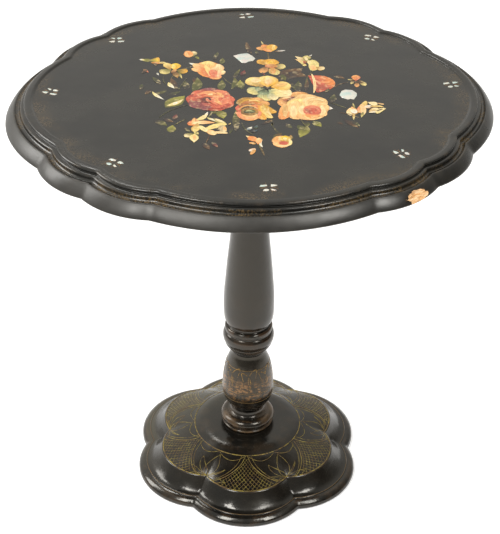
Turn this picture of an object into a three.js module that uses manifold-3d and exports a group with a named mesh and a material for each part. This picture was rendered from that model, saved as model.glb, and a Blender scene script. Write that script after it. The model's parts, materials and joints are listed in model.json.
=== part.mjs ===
// A tilt-top pedestal table in black japanned papier-mache: a moulded top with a lobed, stepped rim,
// a turned column and a six-lobed domed base. Millimetres, +Z up, origin on the floor below the
// column. +X runs along the tilt axis and the top's painted face turns towards -Y as it tilts.
import * as THREE from "three";
import { mergeVertices } from "three/addons/utils/BufferGeometryUtils.js";
import Module from "manifold-3d";

const wasm = await Module();
wasm.setup();

// ---------------------------------------------------------------- driving dimensions
const HEIGHT = 700; // floor to the crest of the rim
const FIT = 0.15; // radial clearance of a pin, rod, tenon or screw in its hole
const TURNED_SIDES = 20; // sides of the turned column pieces
const SMALL_SIDES = 8; // sides of screws and their holes

// Top: twelve cusps on a slightly oval ring, four big lobes on the axes and eight small ones.
const CUSP_RADIUS = 311;
const OVAL = 0.95; // depth of the cusp ring over its width
const CUSP_ANGLES = [27.2, 45, 62.8]; // degrees in the first quadrant, mirrored to the others
const SIDE_LOBE_RISE = 52.4; // how far the crest of each lobe stands out from its chord
const FRONT_LOBE_RISE = 39;
const SMALL_LOBE_RISE = 12.5;
const BIG_LOBE_STEPS = 7;
const SMALL_LOBE_STEPS = 4;
const PANEL_RECESS = 2.5;
const PANEL_THICKNESS = 11.5;
const PANEL_TOP = HEIGHT - PANEL_RECESS;
const PANEL_UNDERSIDE = PANEL_TOP - PANEL_THICKNESS;

// Rim section: [distance outwards from the crest line, drop below the crest].
const RIM_UPPER = [
  [-4, PANEL_RECESS],
  [-1.6, 0.9],
  [0, 0],
  [6, 0],
  [8.6, 0.9],
  [9.4, 2.4],
  [9.2, 4.8],
  [10.6, 5.6],
  [14.4, 7],
  [15.2, 10.8],
  [17.6, 12.6],
  [20.4, 12.2],
  [23.6, 10.4],
  [28, 14.4],
  [32.4, 19.6],
  [36, 26.2],
  [34.8, 28],
];
const RIM_LOWER = [
  [31, 27.4],
  [24.6, 19.8],
  [18, 17.2],
  [4, 15],
  [-4, PANEL_RECESS + PANEL_THICKNESS],
];

// The place where the rim's outer face is chipped.
const CHIP_REACH = [27, 11, 12];
const CHIP_TURN = 31; // degrees, along the edge
const CHIP_MIDDLE = [216, -275, HEIGHT - 13];

// Base: rows of the moulded shell as [radius at the middle of a lobe, radius at a cusp, height].
const BASE_TURN = -4.3; // degrees that the base stands turned from the top
const BASE_LOBES = 6;
const BASE_LOBE_STEPS = 7;
const SHELL_OUTER = [
  [195, 174.5, 0],
  [197.5, 177, 4],
  [195.6, 175, 9.6],
  [190, 169.5, 13.4],
  [183.5, 162.6, 15],
  [175, 153.2, 19],
  [166, 144.6, 27.6],
  [158.6, 138, 36.4],
  [155, 135, 40],
  [136, 123, 48.4],
  [112, 107, 57],
  [88, 88, 64.6],
  [68, 68, 68.4],
  [46, 46, 70],
];
const SHELL_INNER = [
  [54, 54, 64],
  [84, 84, 58.6],
  [118, 110, 47],
  [150.4, 131.4, 34],
  [160, 139, 22.5],
  [170.5, 148.6, 13.6],
  [184, 163, 9],
  [187, 166, 0],
];
const SHELL_HOLE_RADIUS = 22;
const DOME_TOP = 70;
const DOME_UNDERSIDE = 64;
const BOARD_MID = 175;
const BOARD_CUSP = 153.6;
const BOARD_THICKNESS = 10.3;
const BOARD_HOLE_RADIUS = 20;
const HUB_RADIUS = 52;
const BALLAST_INNER = 62;
const BALLAST_OUTER = 116;
const BALLAST_TOP = 30;
const SOCKET_SPARE = 1; // room left at the bottom of a tenon's socket
const WASHER_POCKET_TOP = 24.5;
const BASE_SCREW_CIRCLE = 38;
const BASE_SCREWS = 4;
const SEAT = 0.1; // gap left between faces that bear on each other

// Column: every piece is bored for the tie rod.
const ROD_RADIUS = 5;
const BORE_RADIUS = ROD_RADIUS + 0.6;
const TENON_RADIUS = 14;
const TENON_LENGTH = 18;
const SOCKET_RADIUS = TENON_RADIUS + FIT;
const SOCKET_DEPTH = TENON_LENGTH + 1;
const FOOT_TENON_RADIUS = 19.5;
const FOOT_TENON_LENGTH = 34;
const ROD_BOTTOM = 11.5;
const ROD_TOP = 681;
const FOOT_TOP = 104;
const BALUSTER_TOP = 224;
const RING_TOP = 281;
const SHAFT_TOP = 642;
const COLLAR_TOP = 664;
const NUT_RADIUS = 10;
const NUT_HEIGHT = 8.5;
const WASHER_RADIUS = 16.5;
const WASHER_THICKNESS = 2.4;
const WASHER_ROOM = 1.5; // radial room round a washer in its pocket
const LOWER_WASHER_Z = 22;
const UPPER_WASHER_Z = 668.6;

// Screws: countersunk head radius, shank radius and whole length.
const LONG_SCREW = { head: 4.6, shank: 2.2, length: 25 };
const HUB_SCREW = { head: 4.6, shank: 2.2, length: 34 };
const PLATE_SCREW = { head: 3, shank: 1.5, length: 8 };
const KEEPER_SCREW = { head: 2.8, shank: 1.4, length: 12 };
const SUNK = 1; // how deep a wood screw's head is sunk
const HEAD_ROOM = 0.3; // radial room round a sunk head

// Tilting head.
const PIVOT_Y = -75;
const PIVOT_Z = 675;
const BLOCK_HALF_WIDTH = 90;
const NOSE_RADIUS = 10.6; // the block's front upper edge, round about the pivot
const BLOCK_TOP = PIVOT_Z + NOSE_RADIUS;
const BLOCK_BACK = 85;
const PIN_HOLD = 30; // length of a pivot pin inside the block
const BLOCK_CHAMFER = 4;
const PIN_RADIUS = 4.5;
const PIN_REACH = 24; // length of a pivot pin inside its bearer
const PRESS_GAP = 0.05; // radial gap of a pin driven into the block
const BEARER_INNER = 91;
const BEARER_WIDTH = 30;
const BEARER_LENGTH = 440;
const BEARER_THICKNESS = 20;
const BEARER_SNAPE_RUN = 24; // slope cut at both ends of a bearer
const BEARER_SNAPE_RISE = 12;
const BEARER_SCREW_Y = [-190, 20, 190];

// Slide bolt that locks the top level.
const PLATE_WIDTH = 46;
const PLATE_LENGTH = 50;
const PLATE_THICKNESS = 2;
const PLATE_FRONT = 92;
const PLATE_MARGIN = 6; // from the plate's edges to its screws
const BOLT_WIDTH = 12;
const BOLT_THICKNESS = 6;
const BOLT_LENGTH = 52;
const BOLT_GAP = 0.4; // running clearance round the bolt
const BOLT_NOSE_Y = 90;
const MORTISE_DEPTH = 14; // takes the bolt shot home by 10
const KNOB_Y = PLATE_FRONT + PLATE_LENGTH / 2;
const KNOB_HEIGHT = 13;
const STEM_RADIUS = 1.6; // the knob's stem through the bolt
const STAPLE_WALL = 3;
const STAPLE_INSET = 3; // from the plate's ends
const STAPLE_DEPTH = 7;
const KEEPER_THICKNESS = 2;
const KEEPER_SCREW_X = 12.5;
const KEEPER_HALF_WIDTH = 17;
const KEEPER_MARGIN = 3.6; // metal left below the keeper's hole

// ---------------------------------------------------------------- materials
const finish = (color, roughness, metalness) =>
  new THREE.MeshStandardMaterial({ color, roughness, metalness });
const lacquer = () => finish(0x17161a, 0.22, 0);
const rawWood = () => finish(0x8a6a45, 0.8, 0);
const darkWood = () => finish(0x3b2a1d, 0.65, 0);
const iron = () => finish(0x4a4744, 0.6, 0.9);
const steel = () => finish(0x77736c, 0.45, 1);
const brass = () => finish(0xa98545, 0.35, 1);

// ---------------------------------------------------------------- geometry helpers
const rad = (degrees) => (degrees * Math.PI) / 180;

// A closed geometry from rows of points: each row is a closed ring with the same number of points.
// With `loop` the last row joins the first; otherwise each end row is capped by a fan.
function loft(rows, loop) {
  const n = rows[0].length;
  const points = rows.flat();
  const faces = [];
  const bands = loop ? rows.length : rows.length - 1;
  for (let r = 0; r < bands; r += 1) {
    const low = r * n;
    const high = ((r + 1) % rows.length) * n;
    for (let i = 0; i < n; i += 1) {
      const j = (i + 1) % n;
      faces.push(low + i, low + j, high + j, low + i, high + j, high + i);
    }
  }
  if (!loop) {
    addCap(points, faces, 0, n, true);
    addCap(points, faces, (rows.length - 1) * n, n, false);
  }
  const geometry = new THREE.BufferGeometry();
  geometry.setAttribute("position", new THREE.Float32BufferAttribute(points.flat(), 3));
  geometry.setIndex(faces);
  return geometry;
}

function addCap(points, faces, start, n, flip) {
  const middle = [0, 0, points[start][2]];
  const centre = points.push(middle) - 1;
  for (let i = 0; i < n; i += 1) {
    const a = start + i;
    const b = start + ((i + 1) % n);
    faces.push(...(flip ? [b, a, centre] : [a, b, centre]));
  }
}

// One lobe as a circular arc between two cusps, standing `rise` out from its chord.
function lobeArc(from, to, rise) {
  const chord = from.distanceTo(to);
  const radius = (chord * chord) / (8 * rise) + rise / 2;
  const middle = from.clone().add(to).multiplyScalar(0.5);
  const outwards = new THREE.Vector2(to.y - from.y, from.x - to.x).normalize();
  const centre = middle.addScaledVector(outwards, rise - radius);
  return { centre, radius, from, to };
}

// Where two neighbouring lobes meet once both are moved outwards by `offset`.
function meeting(one, two, offset) {
  const gap = two.centre.clone().sub(one.centre);
  const d = gap.length();
  const r1 = one.radius + offset;
  const r2 = two.radius + offset;
  const along = (d * d + r1 * r1 - r2 * r2) / (2 * d);
  const across = Math.sqrt(r1 * r1 - along * along);
  const unit = gap.divideScalar(d);
  const side = new THREE.Vector2(-unit.y, unit.x);
  const foot = one.centre.clone().addScaledVector(unit, along);
  const ends = [1, -1].map((s) => foot.clone().addScaledVector(side, s * across));
  return ends[0].length() > ends[1].length() ? ends[0] : ends[1];
}

// Points round a ring of lobes moved outwards by `offset`, all at height z.
function lobedRow(lobes, steps, offset, z) {
  const row = [];
  lobes.forEach((lobe, k) => {
    const before = lobes[(k + lobes.length - 1) % lobes.length];
    const after = lobes[(k + 1) % lobes.length];
    const start = meeting(before, lobe, offset).sub(lobe.centre).angle();
    const end = meeting(lobe, after, offset).sub(lobe.centre).angle();
    const sweep = (end - start + 2 * Math.PI) % (2 * Math.PI);
    for (let i = 0; i < steps[k]; i += 1) {
      const angle = start + (sweep * i) / steps[k];
      const reach = lobe.radius + offset;
      row.push([
        lobe.centre.x + reach * Math.cos(angle),
        lobe.centre.y + reach * Math.sin(angle),
        z,
      ]);
    }
  });
  return row;
}

function solidOf(geometry) {
  const bare = geometry.clone();
  bare.deleteAttribute("normal");
  bare.deleteAttribute("uv");
  const merged = mergeVertices(bare, 1e-4);
  return new wasm.Manifold(
    new wasm.Mesh({
      numProp: 3,
      vertProperties: new Float32Array(merged.attributes.position.array),
      triVerts: new Uint32Array(merged.index.array),
    }),
  );
}

function geometryOf(solid) {
  const mesh = solid.getMesh();
  const geometry = new THREE.BufferGeometry();
  geometry.setAttribute("position", new THREE.BufferAttribute(mesh.vertProperties, 3));
  geometry.setIndex(new THREE.BufferAttribute(mesh.triVerts, 1));
  return geometry;
}

const cut = (geometry, cutters) =>
  geometryOf(cutters.reduce((solid, c) => solid.subtract(solidOf(c)), solidOf(geometry)));

// A box given by its lowest and highest corners.
function box(low, high) {
  const size = high.map((h, i) => h - low[i]);
  const middle = high.map((h, i) => (h + low[i]) / 2);
  return new THREE.BoxGeometry(...size).translate(...middle);
}

// An upright round bar centred on (x, y).
function bar(radius, low, high, sides, x = 0, y = 0) {
  return new THREE.CylinderGeometry(radius, radius, high - low, sides)
    .rotateX(Math.PI / 2)
    .translate(x, y, (low + high) / 2);
}

// A round bar along X at the pivot's height and depth.
function pivotBar(radius, fromX, toX) {
  return new THREE.CylinderGeometry(radius, radius, toX - fromX, 24)
    .rotateZ(Math.PI / 2)
    .translate((fromX + toX) / 2, PIVOT_Y, PIVOT_Z);
}

// A turned piece from its outline as [radius, height] pairs, closed on itself round a bore.
function turned(outline, sides = TURNED_SIDES) {
  const loop = [...outline, outline[0]].map(([r, z]) => new THREE.Vector2(r, z));
  return new THREE.LatheGeometry(loop, sides).rotateX(Math.PI / 2);
}

// Points of a quarter of an ellipse that bulges, from one angle to another.
function roll(centreR, centreZ, reachR, reachZ, fromDegrees, toDegrees, steps) {
  return Array.from({ length: steps + 1 }, (_, i) => {
    const angle = rad(fromDegrees + ((toDegrees - fromDegrees) * i) / steps);
    return [centreR + reachR * Math.cos(angle), centreZ + reachZ * Math.sin(angle)];
  });
}

// A countersunk wood screw, head down, driven upwards from headZ; its hole has the same shape.
function screwShape({ head, shank, length }, x, y, headZ, clearance) {
  const outline = [
    [0, headZ],
    [head + clearance, headZ],
    [shank + clearance, headZ + head - shank],
    [shank + clearance, headZ + length - 2 * shank],
    [0.4 * shank + clearance, headZ + length + clearance],
    [0, headZ + length + clearance],
  ].map(([r, z]) => new THREE.Vector2(r, z));
  return new THREE.LatheGeometry(outline, SMALL_SIDES).rotateX(Math.PI / 2).translate(x, y, 0);
}

// The straight hole that lets a screw's head in below the face at height z.
const headHole = ({ head }, x, y, z) =>
  bar(head + HEAD_ROOM, z - 1, z + SUNK + 0.05, SMALL_SIDES, x, y);

// ---------------------------------------------------------------- outlines
function topLobes() {
  const angles = [
    ...CUSP_ANGLES,
    ...CUSP_ANGLES.map((a) => 180 - a).reverse(),
    ...CUSP_ANGLES.map((a) => 180 + a),
    ...CUSP_ANGLES.map((a) => 360 - a).reverse(),
  ];
  const cusps = angles.map(
    (a) => new THREE.Vector2(Math.cos(rad(a)), OVAL * Math.sin(rad(a))).multiplyScalar(CUSP_RADIUS),
  );
  const rises = [
    SMALL_LOBE_RISE,
    SMALL_LOBE_RISE,
    FRONT_LOBE_RISE,
    SMALL_LOBE_RISE,
    SMALL_LOBE_RISE,
    SIDE_LOBE_RISE,
  ];
  return cusps.map((cusp, k) => lobeArc(cusp, cusps[(k + 1) % cusps.length], rises[k % 6]));
}

const TOP_LOBES = topLobes();
const TOP_STEPS = TOP_LOBES.map((_, k) => (k % 3 === 2 ? BIG_LOBE_STEPS : SMALL_LOBE_STEPS));

// A row of the base: arcs between cusps, which become one circle where both radii are equal.
function baseRow([mid, cusp, z]) {
  const half = Math.PI / BASE_LOBES;
  const lobes = Array.from({ length: BASE_LOBES }, (_, k) => {
    const at = (turns) => {
      const angle = rad(BASE_TURN) + turns * 2 * half;
      return new THREE.Vector2(Math.cos(angle), Math.sin(angle)).multiplyScalar(cusp);
    };
    return lobeArc(at(k), at(k + 1), mid - cusp * Math.cos(half));
  });
  return lobes.flatMap(({ centre, radius, from, to }) => {
    const start = from.clone().sub(centre).angle();
    const end = to.clone().sub(centre).angle();
    const sweep = (end - start + 2 * Math.PI) % (2 * Math.PI);
    return Array.from({ length: BASE_LOBE_STEPS }, (_, i) => {
      const angle = start + (sweep * i) / BASE_LOBE_STEPS;
      return [centre.x + radius * Math.cos(angle), centre.y + radius * Math.sin(angle), z];
    });
  });
}

// ---------------------------------------------------------------- screw places
const baseScrewPlaces = Array.from({ length: BASE_SCREWS }, (_, k) => {
  const angle = rad(45 + (360 / BASE_SCREWS) * k);
  return [BASE_SCREW_CIRCLE * Math.cos(angle), BASE_SCREW_CIRCLE * Math.sin(angle)];
});
const bearerMiddle = BEARER_INNER + BEARER_WIDTH / 2;
const bearerBottom = PANEL_UNDERSIDE - BEARER_THICKNESS;
const bearerScrewPlaces = [-1, 1].flatMap((side) =>
  BEARER_SCREW_Y.map((y) => [side * bearerMiddle, y]),
);
const plateBottom = PANEL_UNDERSIDE - PLATE_THICKNESS;
const plateScrewPlaces = [-1, 1].flatMap((side) =>
  [PLATE_MARGIN, PLATE_LENGTH - PLATE_MARGIN].map((inset) => [
    side * (PLATE_WIDTH / 2 - PLATE_MARGIN),
    PLATE_FRONT + inset,
  ]),
);
const keeperScrewX = [-KEEPER_SCREW_X, KEEPER_SCREW_X];

const baseScrew = (x, y, gap) => screwShape(HUB_SCREW, x, y, SUNK, gap);
const bearerScrew = (x, y, gap) => screwShape(LONG_SCREW, x, y, bearerBottom + SUNK, gap);
const plateScrew = (x, y, gap) => screwShape(PLATE_SCREW, x, y, plateBottom, gap);
const boltTop = plateBottom - BOLT_GAP;
const boltBottom = boltTop - BOLT_THICKNESS;
const boltMiddle = (boltTop + boltBottom) / 2;
const keeperScrew = (x, gap) =>
  screwShape(KEEPER_SCREW, 0, 0, 0, gap)
    .rotateX(Math.PI / 2)
    .translate(x, BLOCK_BACK + KEEPER_THICKNESS, boltMiddle);

// ---------------------------------------------------------------- pieces of the stand
function baseShell() {
  const hole = [SHELL_HOLE_RADIUS, SHELL_HOLE_RADIUS];
  const rows = [...SHELL_OUTER, [...hole, DOME_TOP], [...hole, DOME_UNDERSIDE], ...SHELL_INNER];
  return loft(rows.map(baseRow), true);
}

function baseBoard() {
  const plan = (z) => baseRow([BOARD_MID, BOARD_CUSP, z]);
  return cut(loft([plan(0), plan(BOARD_THICKNESS)], false), [
    bar(BOARD_HOLE_RADIUS, -1, BOARD_THICKNESS + 1, TURNED_SIDES),
    ...baseScrewPlaces.map(([x, y]) => headHole(HUB_SCREW, x, y, 0)),
    ...baseScrewPlaces.map(([x, y]) => baseScrew(x, y, FIT)),
  ]);
}

function baseHub() {
  const low = BOARD_THICKNESS + SEAT;
  const socket = FOOT_TENON_RADIUS + FIT;
  const socketFloor = DOME_TOP - FOOT_TENON_LENGTH - SOCKET_SPARE;
  const block = turned([
    [BORE_RADIUS, WASHER_POCKET_TOP],
    [WASHER_RADIUS + WASHER_ROOM, WASHER_POCKET_TOP],
    [WASHER_RADIUS + WASHER_ROOM, low],
    [HUB_RADIUS, low],
    [HUB_RADIUS, DOME_UNDERSIDE - 8],
    [HUB_RADIUS - 8, DOME_UNDERSIDE],
    [socket, DOME_UNDERSIDE],
    [socket, socketFloor],
    [BORE_RADIUS, socketFloor],
  ]);
  return cut(
    block,
    baseScrewPlaces.map(([x, y]) => baseScrew(x, y, FIT)),
  );
}

function baseBallast() {
  const low = BOARD_THICKNESS + SEAT;
  return turned([
    [BALLAST_INNER, low],
    [BALLAST_OUTER, low],
    [BALLAST_OUTER, BALLAST_TOP - 4],
    [BALLAST_OUTER - 5, BALLAST_TOP],
    [BALLAST_INNER + 2, BALLAST_TOP],
    [BALLAST_INNER, BALLAST_TOP - 2],
  ]);
}

// The tenon that hangs below a turned piece seated at height z.
const tenonBelow = (z) => [
  [BORE_RADIUS, z - TENON_LENGTH],
  [TENON_RADIUS, z - TENON_LENGTH],
  [TENON_RADIUS, z + SEAT],
];

// The socket sunk into a turned piece whose top is at height z.
const socketBelow = (z) => [
  [SOCKET_RADIUS, z],
  [SOCKET_RADIUS, z - SOCKET_DEPTH],
  [BORE_RADIUS, z - SOCKET_DEPTH],
];

function columnFoot() {
  return turned([
    [BORE_RADIUS, DOME_TOP - FOOT_TENON_LENGTH],
    [FOOT_TENON_RADIUS, DOME_TOP - FOOT_TENON_LENGTH],
    [FOOT_TENON_RADIUS, DOME_TOP + SEAT],
    [38, DOME_TOP + SEAT],
    ...roll(39.4, 73.6, 3.2, 3.2, -70, 90, 4),
    [38.6, 77.8],
    ...roll(34.5, 85.2, 9, 7.4, -68, 90, 6),
    [30.5, 93.4],
    [27.4, 96.6],
    [25.7, 101],
    [25.7, FOOT_TOP],
    ...socketBelow(FOOT_TOP),
  ]);
}

function columnBaluster() {
  return turned([
    ...tenonBelow(FOOT_TOP),
    [26.4, FOOT_TOP + SEAT],
    [30.2, 110.4],
    [37.5, 122.5],
    [40.8, 133],
    [42, 145],
    [41.7, 159],
    [39.8, 176],
    [36.6, 194],
    [31.8, 209],
    [28, 218],
    [27, BALUSTER_TOP],
    ...socketBelow(BALUSTER_TOP),
  ]);
}

function columnRing() {
  return turned([
    ...tenonBelow(BALUSTER_TOP),
    [28.6, BALUSTER_TOP + SEAT],
    [31.4, 229.4],
    [36.4, 236.2],
    [38.6, 242],
    [39.6, 243.4],
    ...roll(34.4, 254.6, 6.6, 9.4, -48, 62, 6),
    [37.4, 266.4],
    [38.4, 268.8],
    [38.2, 272.4],
    [36.6, 275.4],
    [33.6, 276.4],
    [32.6, RING_TOP],
    ...socketBelow(RING_TOP),
  ]);
}

function columnShaft() {
  return turned([
    ...tenonBelow(RING_TOP),
    [34.6, RING_TOP + SEAT],
    [37.4, 285],
    [39.4, 292],
    [40.5, 306],
    [40, 338],
    [37.8, 368],
    [35.4, 398],
    [30.3, 453],
    [27.2, 505],
    [25.4, 560],
    [25.2, 610],
    [27, 632],
    [29, SHAFT_TOP],
    [TENON_RADIUS, SHAFT_TOP],
    [TENON_RADIUS, SHAFT_TOP + TENON_LENGTH],
    [BORE_RADIUS, SHAFT_TOP + TENON_LENGTH],
  ]);
}

function columnCollar() {
  const shelf = SHAFT_TOP + SEAT;
  return turned([
    [SOCKET_RADIUS, shelf],
    [34, shelf],
    ...roll(40, 648.4, 6.4, 6.2, -80, 60, 5),
    [45, 656.6],
    [52, 659.4],
    [54, COLLAR_TOP],
    [SOCKET_RADIUS, COLLAR_TOP],
  ]);
}

// A disc bored for the tie rod, such as a nut (six sides) or a washer.
const bored = (radius, low, thickness, sides) =>
  cut(bar(radius, low, low + thickness, sides), [
    bar(ROD_RADIUS + FIT, low - 1, low + thickness + 1, 16),
  ]);

const nut = (low) => bored(NUT_RADIUS, low, NUT_HEIGHT, 6);
const washer = (low) => bored(WASHER_RADIUS, low, WASHER_THICKNESS, 16);

function tiltBlock() {
  const low = COLLAR_TOP + SEAT;
  const socket = PIN_RADIUS + PRESS_GAP;
  const inner = BLOCK_HALF_WIDTH - PIN_HOLD - 1;
  const outer = BLOCK_HALF_WIDTH + 1;
  const side = new THREE.Shape();
  side.moveTo(PIVOT_Y - NOSE_RADIUS + BLOCK_CHAMFER, low);
  side.lineTo(BLOCK_BACK, low);
  side.lineTo(BLOCK_BACK, BLOCK_TOP);
  side.lineTo(PIVOT_Y, BLOCK_TOP);
  side.absarc(PIVOT_Y, PIVOT_Z, NOSE_RADIUS, Math.PI / 2, Math.PI, false);
  side.lineTo(PIVOT_Y - NOSE_RADIUS, low + BLOCK_CHAMFER);
  const depth = 2 * BLOCK_HALF_WIDTH;
  const body = new THREE.ExtrudeGeometry(side, { depth, bevelEnabled: false, curveSegments: 8 })
    .rotateX(Math.PI / 2)
    .rotateZ(Math.PI / 2)
    .translate(-BLOCK_HALF_WIDTH, 0, 0);
  const mortise = BOLT_WIDTH / 2 + 1;
  return cut(body, [
    bar(BORE_RADIUS, low - 1, BLOCK_TOP + 1, 16),
    bar(WASHER_RADIUS + WASHER_ROOM, UPPER_WASHER_Z - SEAT, BLOCK_TOP + 1, 16),
    pivotBar(socket, -outer, -inner),
    pivotBar(socket, inner, outer),
    box(
      [-mortise, BLOCK_BACK - MORTISE_DEPTH, boltBottom - 1],
      [mortise, BLOCK_BACK + 1, boltTop + 0.5],
    ),
    ...keeperScrewX.map((x) => keeperScrew(x, FIT)),
  ]);
}

function keeperPlate() {
  const hole = BOLT_WIDTH / 2 + BOLT_GAP;
  const face = BLOCK_BACK + SEAT;
  const back = BLOCK_BACK + KEEPER_THICKNESS;
  const low = boltBottom - KEEPER_MARGIN;
  const plate = box([-KEEPER_HALF_WIDTH, face, low], [KEEPER_HALF_WIDTH, back, BLOCK_TOP]);
  return cut(plate, [
    box([-hole, face - 1, boltBottom - BOLT_GAP], [hole, back + 1, boltTop + BOLT_GAP]),
    ...keeperScrewX.map((x) => keeperScrew(x, FIT)),
  ]);
}

// ---------------------------------------------------------------- pieces of the top
// The lump that has flaked and broken off the apron at the front right.
function chipLump() {
  return new THREE.IcosahedronGeometry(1, 1)
    .scale(...CHIP_REACH)
    .rotateZ(rad(CHIP_TURN))
    .translate(...CHIP_MIDDLE);
}

function tableTop() {
  const row = ([offset, drop]) => lobedRow(TOP_LOBES, TOP_STEPS, offset, HEIGHT - drop);
  const rows = [...RIM_UPPER, ...RIM_LOWER].map(row).reverse();
  return cut(loft(rows, false), [
    chipLump(),
    ...bearerScrewPlaces.map(([x, y]) => bearerScrew(x, y, FIT)),
    ...plateScrewPlaces.map(([x, y]) => plateScrew(x, y, FIT)),
  ]);
}

function bearer(side) {
  const half = BEARER_LENGTH / 2;
  const low = side < 0 ? -BEARER_INNER - BEARER_WIDTH : BEARER_INNER;
  const high = low + BEARER_WIDTH;
  const depth = BEARER_WIDTH;
  const outline = new THREE.Shape([
    new THREE.Vector2(-half, PANEL_UNDERSIDE - SEAT),
    new THREE.Vector2(-half, bearerBottom + BEARER_SNAPE_RISE),
    new THREE.Vector2(-half + BEARER_SNAPE_RUN, bearerBottom),
    new THREE.Vector2(half - BEARER_SNAPE_RUN, bearerBottom),
    new THREE.Vector2(half, bearerBottom + BEARER_SNAPE_RISE),
    new THREE.Vector2(half, PANEL_UNDERSIDE - SEAT),
  ]);
  const body = new THREE.ExtrudeGeometry(outline, { depth, bevelEnabled: false })
    .rotateX(Math.PI / 2)
    .rotateZ(Math.PI / 2)
    .translate(low, 0, 0);
  return cut(body, [
    pivotBar(PIN_RADIUS + FIT, low - 1, high + 1),
    ...BEARER_SCREW_Y.map((y) => bearerScrew(side * bearerMiddle, y, FIT)),
    ...BEARER_SCREW_Y.map((y) => headHole(LONG_SCREW, side * bearerMiddle, y, bearerBottom)),
  ]);
}

function boltPlate() {
  const half = PLATE_WIDTH / 2;
  const back = PLATE_FRONT + PLATE_LENGTH;
  return cut(
    box([-half, PLATE_FRONT, plateBottom], [half, back, PANEL_UNDERSIDE - SEAT]),
    plateScrewPlaces.map(([x, y]) => plateScrew(x, y, FIT)),
  );
}

function boltStaple(y) {
  const inner = BOLT_WIDTH / 2 + BOLT_GAP;
  const outer = inner + STAPLE_WALL;
  const low = boltBottom - BOLT_GAP;
  const high = plateBottom - SEAT;
  const arch = new THREE.Shape();
  arch.moveTo(-outer, high);
  arch.lineTo(-outer, low - 0.5);
  arch.absarc(-outer + STAPLE_WALL, low - 0.5, STAPLE_WALL, Math.PI, 1.5 * Math.PI, false);
  arch.absarc(outer - STAPLE_WALL, low - 0.5, STAPLE_WALL, 1.5 * Math.PI, 2 * Math.PI, false);
  arch.lineTo(outer, high);
  arch.lineTo(inner, high);
  arch.lineTo(inner, low);
  arch.lineTo(-inner, low);
  arch.lineTo(-inner, high);
  return new THREE.ExtrudeGeometry(arch, {
    depth: STAPLE_DEPTH,
    bevelEnabled: false,
    curveSegments: 3,
  })
    .rotateX(Math.PI / 2)
    .translate(0, y + STAPLE_DEPTH, 0);
}

function slideBolt() {
  const half = BOLT_WIDTH / 2;
  const plan = new THREE.Shape();
  plan.moveTo(-half, BOLT_NOSE_Y + 3);
  plan.lineTo(-half + 2.5, BOLT_NOSE_Y);
  plan.lineTo(half - 2.5, BOLT_NOSE_Y);
  plan.lineTo(half, BOLT_NOSE_Y + 3);
  plan.lineTo(half, BOLT_NOSE_Y + BOLT_LENGTH);
  plan.lineTo(-half, BOLT_NOSE_Y + BOLT_LENGTH);
  const body = new THREE.ExtrudeGeometry(plan, { depth: BOLT_THICKNESS, bevelEnabled: false });
  const stemHole = bar(STEM_RADIUS + FIT, boltBottom - 1, boltTop + 1, 12, 0, KNOB_Y);
  return cut(body.translate(0, 0, boltBottom), [stemHole]);
}

function boltKnob() {
  const low = boltBottom - KNOB_HEIGHT;
  const outline = [
    [0, low],
    [3.2, low + 0.4],
    [5.2, low + 2.4],
    [5.4, low + 5],
    [4, low + 7.6],
    [2.4, low + 9.4],
    [2.6, boltBottom - SEAT],
    [STEM_RADIUS, boltBottom - SEAT],
    [STEM_RADIUS, boltTop],
    [0, boltTop],
  ].map(([r, z]) => new THREE.Vector2(r, z));
  return new THREE.LatheGeometry(outline, 16).rotateX(Math.PI / 2).translate(0, KNOB_Y, 0);
}

// ---------------------------------------------------------------- assembly
const table = new THREE.Group();
const stand = new THREE.Group();
const top = new THREE.Group();
table.add(stand, top);

function place(group, name, geometry, material) {
  const mesh = new THREE.Mesh(geometry, material);
  mesh.name = name;
  group.add(mesh);
}

place(stand, "base_shell", baseShell(), lacquer());
place(stand, "base_board", baseBoard(), rawWood());
place(stand, "base_hub", baseHub(), rawWood());
place(stand, "base_ballast", baseBallast(), iron());
baseScrewPlaces.forEach(([x, y], k) =>
  place(stand, `base_screw_${k + 1}`, baseScrew(x, y, 0), steel()),
);
place(stand, "column_foot", columnFoot(), lacquer());
place(stand, "column_baluster", columnBaluster(), lacquer());
place(stand, "column_ring", columnRing(), lacquer());
place(stand, "column_shaft", columnShaft(), lacquer());
place(stand, "column_collar", columnCollar(), lacquer());
place(stand, "tie_rod", bar(ROD_RADIUS, ROD_BOTTOM, ROD_TOP, 16), iron());
place(stand, "lower_washer", washer(LOWER_WASHER_Z), iron());
place(stand, "lower_nut", nut(LOWER_WASHER_Z - SEAT - NUT_HEIGHT), iron());
place(stand, "upper_washer", washer(UPPER_WASHER_Z), iron());
place(stand, "upper_nut", nut(UPPER_WASHER_Z + WASHER_THICKNESS + SEAT), iron());
place(stand, "tilt_block", tiltBlock(), darkWood());
place(stand, "keeper_plate", keeperPlate(), brass());
keeperScrewX.forEach((x, k) => place(stand, `keeper_screw_${k + 1}`, keeperScrew(x, 0), brass()));
const pinInner = BLOCK_HALF_WIDTH - PIN_HOLD;
const pinOuter = BEARER_INNER + PIN_REACH;
place(stand, "pivot_pin_left", pivotBar(PIN_RADIUS, -pinOuter, -pinInner), steel());
place(stand, "pivot_pin_right", pivotBar(PIN_RADIUS, pinInner, pinOuter), steel());

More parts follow.
